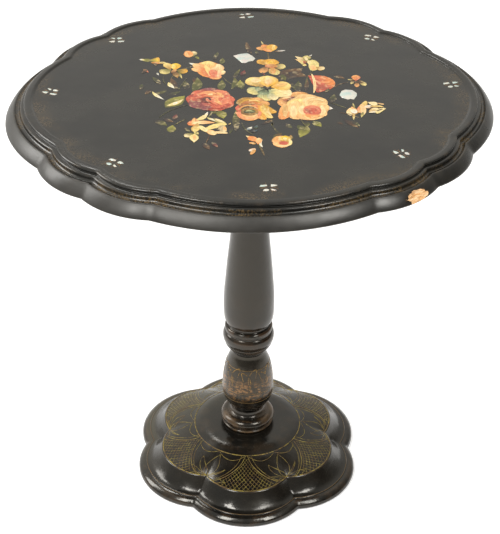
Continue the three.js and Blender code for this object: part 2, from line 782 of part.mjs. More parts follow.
place(top, "table_top", tableTop(), lacquer());
place(top, "bearer_left", bearer(-1), darkWood());
place(top, "bearer_right", bearer(1), darkWood());
bearerScrewPlaces.forEach(([x, y], k) =>
  place(top, `bearer_screw_${k + 1}`, bearerScrew(x, y, 0), steel()),
);
place(top, "bolt_plate", boltPlate(), brass());
plateScrewPlaces.forEach(([x, y], k) =>
  place(top, `bolt_plate_screw_${k + 1}`, plateScrew(x, y, 0), brass()),
);
const backStaple = PLATE_FRONT + PLATE_LENGTH - STAPLE_INSET - STAPLE_DEPTH;
place(top, "bolt_staple_front", boltStaple(PLATE_FRONT + STAPLE_INSET), brass());
place(top, "bolt_staple_back", boltStaple(backStaple), brass());
place(top, "slide_bolt", slideBolt(), brass());
place(top, "bolt_knob", boltKnob(), brass());

export default table;
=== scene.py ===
"""A tilt-top pedestal table in black japanned papier-mache, with a painted bouquet, slips of pearl and
gilding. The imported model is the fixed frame; every finer piece here is built round it, in metres."""

import json
import logging
import math
import random
from collections.abc import Callable, Iterable
from dataclasses import dataclass, field
from enum import Enum

import bmesh
import bpy
from bpy.types import Material, Node, NodeSocket, NodeTree, Object
from mathutils import Matrix, Vector, noise


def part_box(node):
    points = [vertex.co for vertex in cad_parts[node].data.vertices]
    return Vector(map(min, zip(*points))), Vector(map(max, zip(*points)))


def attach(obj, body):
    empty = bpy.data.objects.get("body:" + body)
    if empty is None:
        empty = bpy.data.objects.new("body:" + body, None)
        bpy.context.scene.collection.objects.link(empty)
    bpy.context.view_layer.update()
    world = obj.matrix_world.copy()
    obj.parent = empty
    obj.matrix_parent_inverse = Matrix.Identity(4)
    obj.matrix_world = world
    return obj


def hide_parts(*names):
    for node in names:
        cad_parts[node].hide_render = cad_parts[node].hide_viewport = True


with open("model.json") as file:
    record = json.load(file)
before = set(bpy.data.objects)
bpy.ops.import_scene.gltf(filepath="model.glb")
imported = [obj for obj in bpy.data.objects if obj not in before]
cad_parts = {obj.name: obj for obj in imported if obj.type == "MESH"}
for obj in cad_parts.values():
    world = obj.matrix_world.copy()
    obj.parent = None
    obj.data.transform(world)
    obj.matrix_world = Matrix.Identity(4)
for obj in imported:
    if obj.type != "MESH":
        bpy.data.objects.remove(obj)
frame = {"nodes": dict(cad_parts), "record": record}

LOG = logging.getLogger("table")
MM = 0.001
SMOOTH_ANGLE = math.radians(38)
Point = tuple[float, float]
Row = list[Vector]
Colour = tuple[float, float, float, float]
TURNED_SIDES = 96


class Body(Enum):
    """The rigid bodies that pieces ride on."""

    STAND = "stand"
    TOP = "top"


class Slot(Enum):
    """The record's material slot that new pieces belong to."""

    LACQUER = "black_lacquer"


# ------------------------------------------------------------------------------------ working helpers
def deselect() -> None:
    """Leaves edit mode and lets go of everything that is selected."""
    if bpy.context.object and bpy.context.object.mode != "OBJECT":
        bpy.ops.object.mode_set(mode="OBJECT")
    bpy.ops.object.select_all(action="DESELECT")


def between(a: float, b: float, c: float, d: float, t: float) -> float:
    """One coordinate of the Catmull-Rom curve from b to c, at the share t of the way.

    Args:
        a: the coordinate of the point before the span.
        b: where the span starts.
        c: where it ends.
        d: the point after it.
        t: the share of the way.

    Returns:
        The coordinate.
    """
    square = (2 * a - 5 * b + 4 * c - d) * t**2
    return 0.5 * (2 * b + (c - a) * t + square + (3 * b - a - 3 * c + d) * t**3)


def curve_through(points: list[tuple[float, ...]], steps: int) -> list[tuple[float, ...]]:
    """Rounds a stroke of an outline with a Catmull-Rom curve.

    Args:
        points: the stroke's points, of any number of dimensions.
        steps: pieces that each span is divided into.

    Returns:
        The finer points, which include the first and the last one.
    """
    if len(points) < 3:
        steps = min(steps, 2)
    found = []
    last = len(points) - 1
    for k in range(last):
        before, start, end, after = (points[min(max(k + d, 0), last)] for d in (-1, 0, 1, 2))
        for i in range(steps):
            found.append(tuple(between(*four, i / steps) for four in zip(before, start, end, after)))
    return [*found, tuple(points[-1])]


def outline_of(strokes: list[list[tuple[float, ...]]], steps: int) -> list[tuple[float, ...]]:
    """Joins rounded strokes end to end; where two strokes meet, the corner stays sharp.

    Args:
        strokes: the strokes, each starting where the one before it ends.
        steps: pieces that each span of a stroke is divided into.

    Returns:
        All the points, with each shared corner once.
    """
    found = curve_through(strokes[0], steps)
    for stroke in strokes[1:]:
        found += curve_through(stroke, steps)[1:]
    return found


def rub_of(outline: list[Point]) -> list[float]:
    """How much each point of an outline stands proud and so gets rubbed.

    Args:
        outline: points going up the outside of the piece, as (distance outwards, height).

    Returns:
        One value from 0 to 1 for each point.
    """
    reach = 2
    found = []
    for i, here in enumerate(outline):
        a, b = outline[max(i - reach, 0)], outline[min(i + reach, len(outline) - 1)]
        one = Vector((here[0] - a[0], here[1] - a[1]))
        two = Vector((b[0] - here[0], b[1] - here[1]))
        turn = math.atan2(one.x * two.y - one.y * two.x, one.dot(two)) if one.length and two.length else 0.0
        found.append(min(max(turn / 1.1, 0.0), 1.0))
    return found


@dataclass
class Skin:
    """A closed skin drawn through rings of points, as rings of clay are laid on each other."""

    name: str
    rows: list[Row]
    across: list[float]  # a value for each ring, which the finish reads
    rub: list[float]
    hollow: bool = False  # the last ring joins the first; otherwise both ends close to a point

    def build(self) -> Object:
        """Extrudes a circle ring by ring.

        Returns:
            The finished mesh object, shaded smooth.
        """
        deselect()
        count = len(self.rows[0])
        bpy.ops.mesh.primitive_circle_add(vertices=count, radius=MM, fill_type="NOTHING", enter_editmode=True)
        obj = bpy.context.object
        mesh = bmesh.from_edit_mesh(obj.data)
        for mark in ("across", "rub"):
            mesh.verts.layers.float.new(mark)
        bpy.ops.mesh.select_all(action="SELECT")
        place = {}
        for k in range(len(self.rows)):
            if k:
                bpy.ops.mesh.extrude_edges_move()
            place = self._set_ring(obj, k, place)
        if self.hollow:
            bpy.ops.mesh.select_all(action="SELECT")
            bpy.ops.mesh.remove_doubles(threshold=1e-6)
        else:
            bpy.ops.mesh.merge(type="CENTER")
            self._close_start(obj)
        bpy.ops.mesh.select_all(action="SELECT")
        bpy.ops.mesh.normals_make_consistent(inside=False)
        bpy.ops.object.mode_set(mode="OBJECT")
        obj.name = obj.data.name = self.name
        bpy.ops.object.shade_smooth_by_angle(angle=SMOOTH_ANGLE)
        return obj

    def _set_ring(self, obj: Object, k: int, place: dict[int, int]) -> dict[int, int]:
        """Moves the newest ring to its row.

        Args:
            obj: the object in edit mode.
            k: the ring's number.
            place: for each vertex of the ring before, its number in the row.

        Returns:
            The same for the newest ring.
        """
        mesh = bmesh.from_edit_mesh(obj.data)
        across, rub = mesh.verts.layers.float["across"], mesh.verts.layers.float["rub"]
        fresh = [v for v in mesh.verts if v.select]
        if k == 0:
            numbers = {v.index: i for i, v in enumerate(fresh)}
        else:
            numbers = {}
            for vert in fresh:
                source = next(o for o in (e.other_vert(vert) for e in vert.link_edges) if not o.select)
                numbers[vert.index] = place[source.index]
        for vert in fresh:
            vert.co = self.rows[k][numbers[vert.index]]
            vert[across], vert[rub] = self.across[k], self.rub[k]
        mesh.verts.index_update()
        bmesh.update_edit_mesh(obj.data)
        return numbers

    def _close_start(self, obj: Object) -> None:
        """Merges the first ring to its middle."""
        mesh = bmesh.from_edit_mesh(obj.data)
        mesh.verts.ensure_lookup_table()
        for vert in mesh.verts:
            vert.select_set(vert.index < len(self.rows[0]))
        mesh.select_flush_mode()
        bmesh.update_edit_mesh(obj.data)
        bpy.ops.mesh.merge(type="CENTER")


def gilt_lines(name: str, lines: list[list[Vector]], widths: list[float], closed: bool = False) -> Object:
    """Lays fine raised lines along paths on a surface.

    Args:
        name: the piece's name.
        lines: the paths, in metres.
        widths: each line's width, in metres.
        closed: whether the lines close on themselves.

    Returns:
        One mesh object that holds all the lines.
    """
    deselect()
    bpy.ops.curve.primitive_bezier_curve_add(radius=MM)
    obj = bpy.context.object
    curve = obj.data
    curve.splines.clear()
    for path, width in zip(lines, widths):
        spline = curve.splines.new("POLY")
        spline.points.add(len(path) - 1)
        for k, (point, place) in enumerate(zip(spline.points, path)):
            point.co = (*place, 1.0)
            taper = 1.0 if closed else 0.55 + 0.45 * math.sin(math.pi * (k + 0.5) / len(path))
            point.radius = width / MM * taper
        spline.use_cyclic_u = closed
    curve.dimensions = "3D"
    curve.bevel_depth = MM / 2
    curve.bevel_resolution = 1
    curve.use_fill_caps = not closed
    bpy.ops.object.convert(target="MESH")
    obj = bpy.context.object
    obj.name = obj.data.name = name
    bpy.ops.object.shade_smooth_by_angle(angle=math.pi / 2)
    return obj


def copied(source: Object, name: str, turn: Matrix) -> Object:
    """A copy of a piece with its own mesh, moved to its place.

    Args:
        source: the finished piece.
        name: the copy's name.
        turn: where the copy goes.

    Returns:
        The copy, whose object stands at the origin.
    """
    twin = source.copy()
    twin.data = source.data.copy()
    twin.data.transform(turn)
    twin.name = twin.data.name = name
    bpy.context.scene.collection.objects.link(twin)
    return twin


def settle(obj: Object, body: Body, slot: Slot, *finishes: Material) -> Object:
    """Gives a piece its finishes and its body, and reports it.

    Args:
        obj: the piece.
        body: the rigid body that it rides on.
        slot: the record's slot that it belongs to; not used.
        finishes: its materials; none leaves the ones that it has.

    Returns:
        The same piece.
    """
    if finishes:
        obj.data.materials.clear()
        for finish in finishes:
            obj.data.materials.append(finish)
    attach(obj, body.value)
    LOG.info("%s: %d faces", obj.name, len(obj.data.polygons))
    return obj


# ------------------------------------------------------------------------------------------ finishes
class Palette:
    """A node tree that is being put together; its methods add a node and give back its output."""

    def __init__(self, tree: NodeTree) -> None:
        """Starts on an empty tree."""
        self.tree = tree

    def add(self, kind: str, inputs: dict[str | int, object] | None = None, **settings: object) -> Node:
        """Adds a node.

        Args:
            kind: the node's type name after "ShaderNode".
            inputs: what each socket gets: a number, a colour or another node's output.
            settings: the node's own settings.

        Returns:
            The node.
        """
        node = self.tree.nodes.new("ShaderNode" + kind)
        for name, value in settings.items():
            setattr(node, name, value)
        for socket, value in (inputs or {}).items():
            if isinstance(value, NodeSocket):
                self.tree.links.new(value, node.inputs[socket])
            else:
                node.inputs[socket].default_value = value
        return node

    def place(self) -> NodeSocket:
        """The point's place in the object's own frame."""
        return self.add("TexCoord").outputs["Object"]

    def cloud(
        self, vector: NodeSocket, scale: object, detail: float = 4.0, rough: float = 0.55
    ) -> NodeSocket:
        """Soft noise from 0 to 1.

        Args:
            vector: where it is read.
            scale: how fine it is, per metre.
            detail: how many finer layers it has.
            rough: how strong they are.

        Returns:
            The value.
        """
        inputs = {"Vector": vector, "Scale": scale, "Detail": detail, "Roughness": rough}
        return self.add("TexNoise", inputs).outputs["Fac"]

    def stretched(self, vector: NodeSocket, scale: tuple[float, float, float]) -> NodeSocket:
        """The same place with each axis scaled."""
        return self.add("Mapping", {"Vector": vector, "Scale": scale}).outputs["Vector"]

    def span(
        self, value: NodeSocket, low: float, high: float, to_low: float = 0.0, to_high: float = 1.0
    ) -> NodeSocket:
        """Maps a value from one span to another, clamped and eased.

        Args:
            value: the value.
            low: where the first span starts.
            high: where it ends.
            to_low: what low becomes.
            to_high: what high becomes.

        Returns:
            The mapped value.
        """
        inputs = {"Value": value, 1: low, 2: high, 3: to_low, 4: to_high}
        return self.add("MapRange", inputs, interpolation_type="SMOOTHSTEP").outputs[0]

    def maths(self, operation: str, one: object, two: object) -> NodeSocket:
        """One sum on values."""
        return self.add("Math", {0: one, 1: two}, operation=operation).outputs[0]

    def times(self, one: object, two: object) -> NodeSocket:
        """The product of two values."""
        return self.maths("MULTIPLY", one, two)

    def plus(self, one: object, two: object) -> NodeSocket:
        """The sum of two values."""
        return self.maths("ADD", one, two)

    def minus(self, one: object, two: object) -> NodeSocket:
        """What is left when the second value is taken off the first."""
        return self.maths("SUBTRACT", one, two)

    def blend(self, factor: object, one: object, two: object, way: str = "MIX") -> NodeSocket:
        """Mixes two colours.

        Args:
            factor: the share of the second one.
            one: the first colour.
            two: the second colour.
            way: the mixing mode.

        Returns:
            The mixed colour.
        """
        node = self.add("Mix", data_type="RGBA", blend_type=way)
        for socket, value in zip((0, 6, 7), (factor, one, two)):
            if isinstance(value, NodeSocket):
                self.tree.links.new(value, node.inputs[socket])
            else:
                node.inputs[socket].default_value = value
        return node.outputs[2]

    def mark(self, name: str) -> NodeSocket:
        """A value that the mesh itself carries."""
        return self.add("Attribute", attribute_name=name).outputs["Fac"]

    def group(self, name: str, **inputs: object) -> Node:
        """Places a shared effect.

        Args:
            name: the effect's name.
            inputs: values for its sockets.

        Returns:
            The group's node.
        """
        node = self.tree.nodes.new("ShaderNodeGroup")
        node.node_tree = bpy.data.node_groups[name]
        for socket, value in inputs.items():
            if isinstance(value, NodeSocket):
                self.tree.links.new(value, node.inputs[socket])
            else:
                node.inputs[socket].default_value = value
        return node

    def bump(self, height: NodeSocket, depth: float, strength: float = 1.0) -> NodeSocket:
        """A normal from a height.

        Args:
            height: the height, from 0 to 1.
            depth: how far 1 stands out, in metres.
            strength: the share of the effect.

        Returns:
            The normal.
        """
        inputs = {"Height": height, "Distance": depth, "Strength": strength}
        return self.add("Bump", inputs).outputs["Normal"]


def shared_effect(name: str, inputs: dict[str, float], outputs: Iterable[str]) -> tuple[Palette, Node, Node]:
    """Starts a shader node group.

    Args:
        name: the effect's name.
        inputs: its inputs, with their usual values.
        outputs: its outputs.

    Returns:
        The palette to build it with, its input node and its output node.
    """
    tree = bpy.data.node_groups.new(name, "ShaderNodeTree")
    for socket, value in inputs.items():
        tree.interface.new_socket(socket, in_out="INPUT", socket_type="NodeSocketFloat").default_value = value
    for socket in outputs:
        tree.interface.new_socket(socket, in_out="OUTPUT", socket_type="NodeSocketFloat")
    return Palette(tree), tree.nodes.new("NodeGroupInput"), tree.nodes.new("NodeGroupOutput")


def build_ageing() -> None:
    """Builds the effect of age that every finish shares: soft clouds, small specks and fine scratches."""
    names = ("Cloud", "Speck", "Scratch")
    art, given, out = shared_effect("ageing", {"Cloud Scale": 14.0, "Speck Scale": 420.0}, names)
    place = art.place()
    cloud = art.span(art.cloud(place, given.outputs["Cloud Scale"], 6.0, 0.6), 0.3, 0.72)
    speck = art.span(art.cloud(place, given.outputs["Speck Scale"], 2.0, 0.5), 0.62, 0.78)
    drift = art.add("TexNoise", {"Vector": place, "Scale": 9.0}).outputs["Color"]
    warped = art.add("VectorMath", {0: place, 1: drift})
    hair = art.cloud(art.stretched(warped.outputs[0], (900.0, 26.0, 60.0)), 1.0, 3.0, 0.6)
    cross = art.cloud(art.stretched(warped.outputs[0], (30.0, 700.0, 60.0)), 1.0, 3.0, 0.6)
    scratch = art.maths("MAXIMUM", art.span(hair, 0.66, 0.74), art.span(cross, 0.68, 0.76))
    for name, value in zip(names, (cloud, speck, scratch)):
        art.tree.links.new(value, out.inputs[name])


def build_edge_rub() -> None:
    """Builds the effect that finds a solid's edges, where handling rubs the finish."""
    art, given, out = shared_effect("edge_rub", {"Radius": 0.0015}, ("Edge",))
    rounded = art.add("Bevel", {"Radius": given.outputs["Radius"]}, samples=4).outputs["Normal"]
    flat = art.add("NewGeometry").outputs["Normal"]
    turn = art.add("VectorMath", {0: rounded, 1: flat}, operation="DOT_PRODUCT").outputs["Value"]
    art.tree.links.new(art.span(turn, 0.997, 0.9), out.inputs["Edge"])


def build_wood_figure() -> None:
    """Builds the effect of wood: rings and pores running along Y."""
    art, given, out = shared_effect("wood_figure", {"Ring Scale": 55.0}, ("Ring", "Pore"))
    place = art.stretched(art.place(), (1.0, 0.09, 1.0))
    wave = {"Vector": place, "Scale": given.outputs["Ring Scale"]}
    wave |= {"Distortion": 5.0, "Detail": 3.0, "Detail Scale": 1.4}
    ring = art.add("TexWave", wave, bands_direction="X").outputs["Fac"]
    pore = art.span(art.cloud(art.stretched(art.place(), (900.0, 40.0, 900.0)), 1.0, 2.0), 0.56, 0.7)
    art.tree.links.new(ring, out.inputs["Ring"])
    art.tree.links.new(pore, out.inputs["Pore"])


def colour(red: float, green: float, blue: float) -> Colour:
    """A paint colour as the shader wants it.

    Args:
        red: from 0 to 255, as a colour chart gives it.
        green: the same.
        blue: the same.

    Returns:
        The linear colour with full opacity.
    """
    parts = (c / 255 for c in (red, green, blue))
    return (*(c / 12.92 if c <= 0.04045 else ((c + 0.055) / 1.055) ** 2.4 for c in parts), 1.0)


class Finish:
    """A finish: its material is made on first use and then shared."""

    name: str

    def material(self) -> Material:
        """The material of this finish."""
        made = bpy.data.materials.get(self.name)
        if made is None:
            made = bpy.data.materials.new(self.name)
            made.use_nodes = True
            art = Palette(made.node_tree)
            self.paint(art, made.node_tree.nodes["Principled BSDF"])
        return made

    def paint(self, art: Palette, shader: Node) -> None:
        """Sets the shader's sockets; each finish has its own way."""
        raise NotImplementedError

    @staticmethod
    def join(art: Palette, shader: Node, **sockets: NodeSocket) -> None:
        """Links outputs to the shader's sockets, named with _ for a space.

        Args:
            art: the palette of the tree.
            shader: the shader.
            sockets: what goes where.
        """
        for name, value in sockets.items():
            art.tree.links.new(value, shader.inputs[name.replace("_", " ")])


@dataclass(frozen=True)
class Lacquer(Finish):
    """Black japan over papier-mache: deep gloss, brown where it is thin, dull where it is rubbed."""

    name: str = "black_japan"
    gloss: float = 0.13
    dull: float = 0.27
    rubbed: Colour = colour(96, 74, 52)
    sheen: Colour = (1.0, 0.97, 0.89, 1.0)
    thin: Colour = colour(27, 23, 17)  # the lacquer's own colour where it is thin

    def paint(self, art: Palette, shader: Node) -> None:
        """Clouds of brown in the black, dust and a painted sheen on upward faces at the back-left, rubbed edges,
        pits and hair scratches.
        """
        age = art.group("ageing").outputs
        base = art.blend(age["Cloud"], colour(12, 12, 11), self.thin)
        spot = art.add("SeparateXYZ", {0: art.place()}).outputs
        # Upward faces towards the back-left are painted paler grey: partly dust, partly a painted sheen that
        # stands in for the reflection there.
        facing = art.add("SeparateXYZ", {0: art.add("NewGeometry").outputs["Normal"]}).outputs["Z"]
        back = art.minus(spot["Y"], art.times(spot["X"], 0.5))
        dust_and_painted_sheen = art.times(art.span(facing, 0.7, 0.97), art.span(back, 0.0, 0.14, 0.0, 0.8))
        base = art.blend(dust_and_painted_sheen, base, colour(66, 63, 52))
        worn = art.times(art.mark("rub"), art.span(art.cloud(art.place(), 60.0), 0.42, 0.6))
        base = art.blend(art.times(worn, 0.75), base, self.rubbed)
        base = art.blend(art.times(age["Scratch"], 0.12), base, colour(120, 112, 100))
        rough = art.span(age["Cloud"], 0.0, 1.0, self.gloss, self.dull)
        rough = art.plus(rough, art.times(age["Scratch"], 0.12))
        soft = art.cloud(art.place(), 38.0, 3.0, 0.5)
        height = art.minus(soft, art.times(age["Speck"], 0.05))
        self.join(art, shader, Base_Color=base, Roughness=rough, Normal=art.bump(height, 0.0011, 0.6))
        shader.inputs["Specular Tint"].default_value = self.sheen


@dataclass(frozen=True)
class RubbedLacquer(Lacquer):
    """The baluster's lacquer, scratched and rubbed to copper brown round its belly."""

    name: str = "rubbed_japan"
    low: float = 30.0
    high: float = 84.0
    sheen: Colour = (1.0, 0.9, 0.74, 1.0)

    def paint(self, art: Palette, shader: Node) -> None:
        """The plain lacquer with a scratched brown belt."""
        super().paint(art, shader)
        place, height = art.place(), art.mark("across")
        fade = 16
        belt = art.times(
            art.span(height, self.low, self.low + fade), art.span(height, self.high, self.high - fade)
        )
        hatch = art.cloud(art.stretched(place, (210.0, 210.0, 90.0)), 1.0, 5.0, 0.75)
        turned = art.add("VectorRotate", {0: place, 3: 0.7}).outputs[0]
        cross = art.cloud(art.stretched(turned, (90.0, 90.0, 420.0)), 1.0)
        worn = art.times(art.span(hatch, 0.4, 0.58), art.span(cross, 0.4, 0.56))
        worn = art.times(art.times(worn, belt), art.span(art.cloud(place, 34.0), 0.32, 0.54))
        under = shader.inputs["Base Color"].links[0].from_socket
        tone = art.blend(art.cloud(place, 120.0), colour(146, 102, 62), colour(114, 86, 48))
        self.join(art, shader, Base_Color=art.blend(art.times(worn, 0.9), under, tone))


@dataclass(frozen=True)
class TopLacquer(Finish):
    """The top's lacquer: traces of its gilt border, brown rubbed edges and a dull apron with a painted grey
    sheen, strongest on the left.
    """

    name: str = "top_japan"

    def paint(self, art: Palette, shader: Node) -> None:
        """As the plain lacquer, with a worn gold mist that follows the rim and a painted sheen on the apron."""
        place = art.place()
        age = art.group("ageing").outputs
        across = art.mark("across")
        base = art.blend(age["Cloud"], colour(13, 13, 12), colour(25, 24, 20))
        inner = art.times(art.span(across, -34.0, -8.0), art.span(across, -2.0, -5.0))
        cove = art.times(art.span(across, 13.0, 15.0), art.span(across, 23.0, 20.0))
        fleck = art.span(art.cloud(place, 330.0, 4.0, 0.75), 0.44, 0.62)
        patch = art.span(art.cloud(place, 13.0, 3.0, 0.6), 0.4, 0.62)
        gold = art.times(art.plus(art.times(inner, 0.55), cove), fleck)
        gold = art.times(gold, patch)
        base = art.blend(art.times(gold, 0.6), base, colour(112, 88, 48))
        worn = art.times(art.mark("rub"), art.span(art.cloud(place, 70.0), 0.46, 0.64))
        base = art.blend(art.times(worn, 0.4), base, colour(86, 72, 54))
        base = art.blend(art.times(age["Scratch"], 0.1), base, colour(120, 112, 100))
        # The apron is painted paler grey, most on its left side: a painted sheen that stands in for the light
        # that it reflects.
        side = art.add("SeparateXYZ", {0: place}).outputs["X"]
        painted_apron_sheen = art.times(art.span(across, 22.0, 25.0), art.span(side, 0.26, 0.0, 0.3, 1.0))
        painted_apron_sheen = art.times(painted_apron_sheen, art.span(art.cloud(place, 26.0, 5.0, 0.65), 0.25, 0.75, 0.55, 1.0))
        painted_apron_sheen = art.times(painted_apron_sheen, art.span(across, 50.0, 46.0))
        base = art.blend(art.times(painted_apron_sheen, 0.7), base, colour(44, 42, 39))
        rough = art.span(age["Cloud"], 0.0, 1.0, 0.22, 0.29)
        rough = art.plus(rough, art.times(art.plus(gold, painted_apron_sheen), 0.16))
        soft = art.cloud(place, 22.0, 3.0, 0.5)
        height = art.minus(soft, art.times(age["Speck"], 0.06))
        self.join(art, shader, Base_Color=base, Roughness=rough, Normal=art.bump(height, 0.0009, 0.6))
        shader.inputs["Specular Tint"].default_value = (1.0, 0.98, 0.93, 1.0)


@dataclass(frozen=True)
class Gilt(Finish):
    """Gold size and bronze powder, worn through to the black in places."""

    name: str = "gilding"
    gold: Colour = colour(150, 132, 58)
    wear: float = 0.45

    def paint(self, art: Palette, shader: Node) -> None:
        """Gold with brown patches and worn gaps."""
        place = art.place()
        tone = art.blend(art.span(art.cloud(place, 90.0), 0.35, 0.65), self.gold, colour(108, 84, 46))
        gone = art.span(art.cloud(place, 260.0, 4.0, 0.7), self.wear + 0.16, self.wear + 0.05)
        tone = art.blend(art.minus(1.0, gone), tone, colour(40, 33, 24))
        rough = art.span(art.cloud(place, 300.0), 0.3, 0.7, 0.3, 0.55)
        metal = art.times(gone, 0.55)
        normal = art.bump(art.cloud(place, 700.0), 0.0001)
        self.join(art, shader, Base_Color=tone, Roughness=rough, Metallic=metal, Normal=normal)


@dataclass(frozen=True)
class OilPaint(Finish):
    """Brushed oil paint under old varnish; its colour is carried by the mesh."""

    name: str = "oil_paint"

    def paint(self, art: Palette, shader: Node) -> None:
        """Streaks along each stroke, broken by thin places where the ground shows."""
        laid = art.add("Attribute", attribute_name="paint").outputs["Color"]
        along = art.add("UVMap", uv_map="UVMap").outputs["UV"]
        hairs = art.cloud(art.stretched(along, (11.0, 1.6, 1.0)), 1.0, 4.0, 0.65)
        blot = art.cloud(art.place(), 170.0, 4.0, 0.6)
        tone = art.blend(art.span(hairs, 0.35, 0.65, 0.0, 0.5), laid, colour(92, 62, 34), "MULTIPLY")
        tone = art.blend(art.span(blot, 0.5, 0.72, 0.0, 0.3), tone, colour(250, 226, 168))
        thin = art.span(art.cloud(art.place(), 330.0, 3.0, 0.7), 0.3, 0.42, 0.45, 0.0)
        tone = art.blend(thin, tone, colour(44, 36, 26))
        rough = art.span(hairs, 0.3, 0.7, 0.28, 0.42)
        normal = art.bump(hairs, 0.00025, 0.7)
        self.join(art, shader, Base_Color=tone, Roughness=rough, Normal=normal)


@dataclass(frozen=True)
class Pearl(Finish):
    """Slips of mother-of-pearl with a faint play of colour and flow lines."""

    name: str = "mother_of_pearl"

    def paint(self, art: Palette, shader: Node) -> None:
        """Milky ground with green, pink and blue clouds under a hard gloss."""
        place = art.place()
        flow = {"Vector": place, "Scale": 160.0, "Distortion": 9.0, "Detail": 2.0}
        line = art.add("TexWave", flow, bands_direction="DIAGONAL").outputs["Fac"]
        green = art.span(art.cloud(place, 85.0, 3.0), 0.4, 0.62)
        pink = art.span(art.cloud(place, 61.0, 3.0), 0.52, 0.68, 0.0, 0.6)
        tone = art.blend(green, colour(196, 190, 174), colour(164, 182, 172))
        tone = art.blend(pink, tone, colour(204, 176, 166))
        tone = art.blend(art.span(line, 0.6, 1.0, 0.0, 0.35), tone, colour(136, 150, 156))
        rough = art.span(line, 0.0, 1.0, 0.12, 0.26)
        self.join(art, shader, Base_Color=tone, Roughness=rough, Normal=art.bump(line, 0.00008))
        shader.inputs["Coat Weight"].default_value = 0.6
        shader.inputs["Coat Roughness"].default_value = 0.08
        shader.inputs["Metallic"].default_value = 0.15


@dataclass(frozen=True)
class BrokenBoard(Finish):
    """The bare pulp of the board where the edge is chipped."""

    name: str = "broken_board"

    def paint(self, art: Palette, shader: Node) -> None:
        """Torn layers of tan pulp with dirty hollows."""
        place = art.place()
        layer = art.cloud(art.stretched(place, (60.0, 60.0, 700.0)), 1.0, 4.0, 0.7)
        tone = art.blend(art.span(layer, 0.35, 0.65), colour(196, 142, 82), colour(236, 202, 158))
        tone = art.blend(art.span(art.cloud(place, 240.0), 0.55, 0.75, 0.0, 0.6), tone, colour(142, 92, 52))
        height = art.cloud(place, 420.0, 5.0, 0.7)
        rough = art.span(layer, 0.0, 1.0, 0.75, 0.95)
        self.join(art, shader, Base_Color=tone, Roughness=rough, Normal=art.bump(height, 0.0012))


@dataclass(frozen=True)
class Wood(Finish):
    """Wood with its grain along Y; stained or bare."""

    name: str
    light: Colour
    dark: Colour
    rubbed: Colour

    def paint(self, art: Palette, shader: Node) -> None:
        """Rings, pores, dirt in the clouds and paler worn edges."""
        figure = art.group("wood_figure").outputs
        age = art.group("ageing").outputs
        tone = art.blend(figure["Ring"], self.light, self.dark)
        tone = art.blend(art.times(figure["Pore"], 0.6), tone, self.dark)
        tone = art.blend(art.times(age["Cloud"], 0.4), tone, colour(46, 36, 28))
        edge = art.group("edge_rub", Radius=0.0016).outputs["Edge"]
        tone = art.blend(art.times(edge, 0.7), tone, self.rubbed)
        rough = art.span(figure["Ring"], 0.0, 1.0, 0.55, 0.78)
        height = art.minus(figure["Ring"], figure["Pore"])
        self.join(art, shader, Base_Color=tone, Roughness=rough, Normal=art.bump(height, 0.0002))


@dataclass(frozen=True)
class Metal(Finish):
    """Old metal: tarnish in clouds, brighter rubbed edges, fine scratches."""

    name: str
    bright: Colour
    tarnish: Colour
    smooth: float = 0.3
    coarse: float = 0.6
    grain: float = 260.0
    depth: float = 0.0001

    def paint(self, art: Palette, shader: Node) -> None:
        """Tarnish over the metal, rubbed away at the edges."""
        age = art.group("ageing", **{"Cloud Scale": 60.0}).outputs
        edge = art.group("edge_rub", Radius=0.0006).outputs["Edge"]
        dull = art.times(age["Cloud"], art.minus(1.0, edge))
        tone = art.blend(dull, self.bright, self.tarnish)
        rough = art.span(dull, 0.0, 1.0, self.smooth, self.coarse)
        rough = art.plus(rough, art.times(age["Scratch"], 0.1))
        metal = art.span(dull, 0.0, 1.0, 1.0, 0.6)
        normal = art.bump(art.cloud(art.place(), self.grain, 4.0, 0.6), self.depth)
        self.join(art, shader, Base_Color=tone, Roughness=rough, Metallic=metal, Normal=normal)


@dataclass(frozen=True)
class StudioFloor(Finish):
    """The pale floor, faintly mottled, with a little light of its own as a lit sweep has."""

    name: str = "studio_floor"
    glow: float = 0.22

    def paint(self, art: Palette, shader: Node) -> None:
        """Near white, without shine."""
        mottle = art.cloud(art.place(), 3.0)
        self.join(art, shader, Base_Color=art.blend(mottle, colour(246, 246, 246), colour(250, 250, 250)))
        shader.inputs["Roughness"].default_value = 0.9
        shader.inputs["Specular IOR Level"].default_value = 0.0
        shader.inputs["Emission Color"].default_value = (1.0, 1.0, 1.0, 1.0)
        shader.inputs["Emission Strength"].default_value = self.glow


STAINED = Wood("stained_wood", colour(86, 60, 40), colour(44, 30, 22), colour(122, 92, 62))
BARE = Wood("bare_wood", colour(168, 128, 84), colour(122, 88, 56), colour(190, 154, 110))
BRASS = Metal("old_brass", colour(196, 156, 84), colour(104, 78, 42))
STEEL = Metal("old_steel", colour(150, 146, 138), colour(84, 74, 64))
IRON = Metal("black_iron", colour(92, 88, 84), colour(46, 40, 36), 0.45, 0.75)
CAST_IRON = Metal("cast_iron", colour(86, 80, 76), colour(58, 44, 34), 0.55, 0.85, 900.0, 0.0006)
CAD_FINISHES = {
    "raw_wood": BARE,
    "dark_wood": STAINED,
    "cast_iron": CAST_IRON,
    "dark_iron": IRON,
    "steel": STEEL,
    "brass": BRASS,
}


# --------------------------------------------------------------------------------------------- top
@dataclass(frozen=True)
class Lobe:
    """One lobe of the top's outline: an arc about a centre."""

    centre: Vector
    radius: float

    def meeting(self, other: "Lobe", offset: float) -> Vector:
        """Where this lobe meets the next one once both are moved outwards.

        Args:
            other: the next lobe.
            offset: how far both are moved.

        Returns:
            The cusp's place.
        """
        gap = other.centre - self.centre
        one, two = self.radius + offset, other.radius + offset
        along = (gap.length_squared + one**2 - two**2) / (2 * gap.length)
        side = math.sqrt(one**2 - along**2)
        unit = gap.normalized()
        foot = self.centre + unit * along
        ends = (foot + Vector((-unit.y, unit.x)) * side, foot - Vector((-unit.y, unit.x)) * side)
        return max(ends, key=lambda end: end.length)


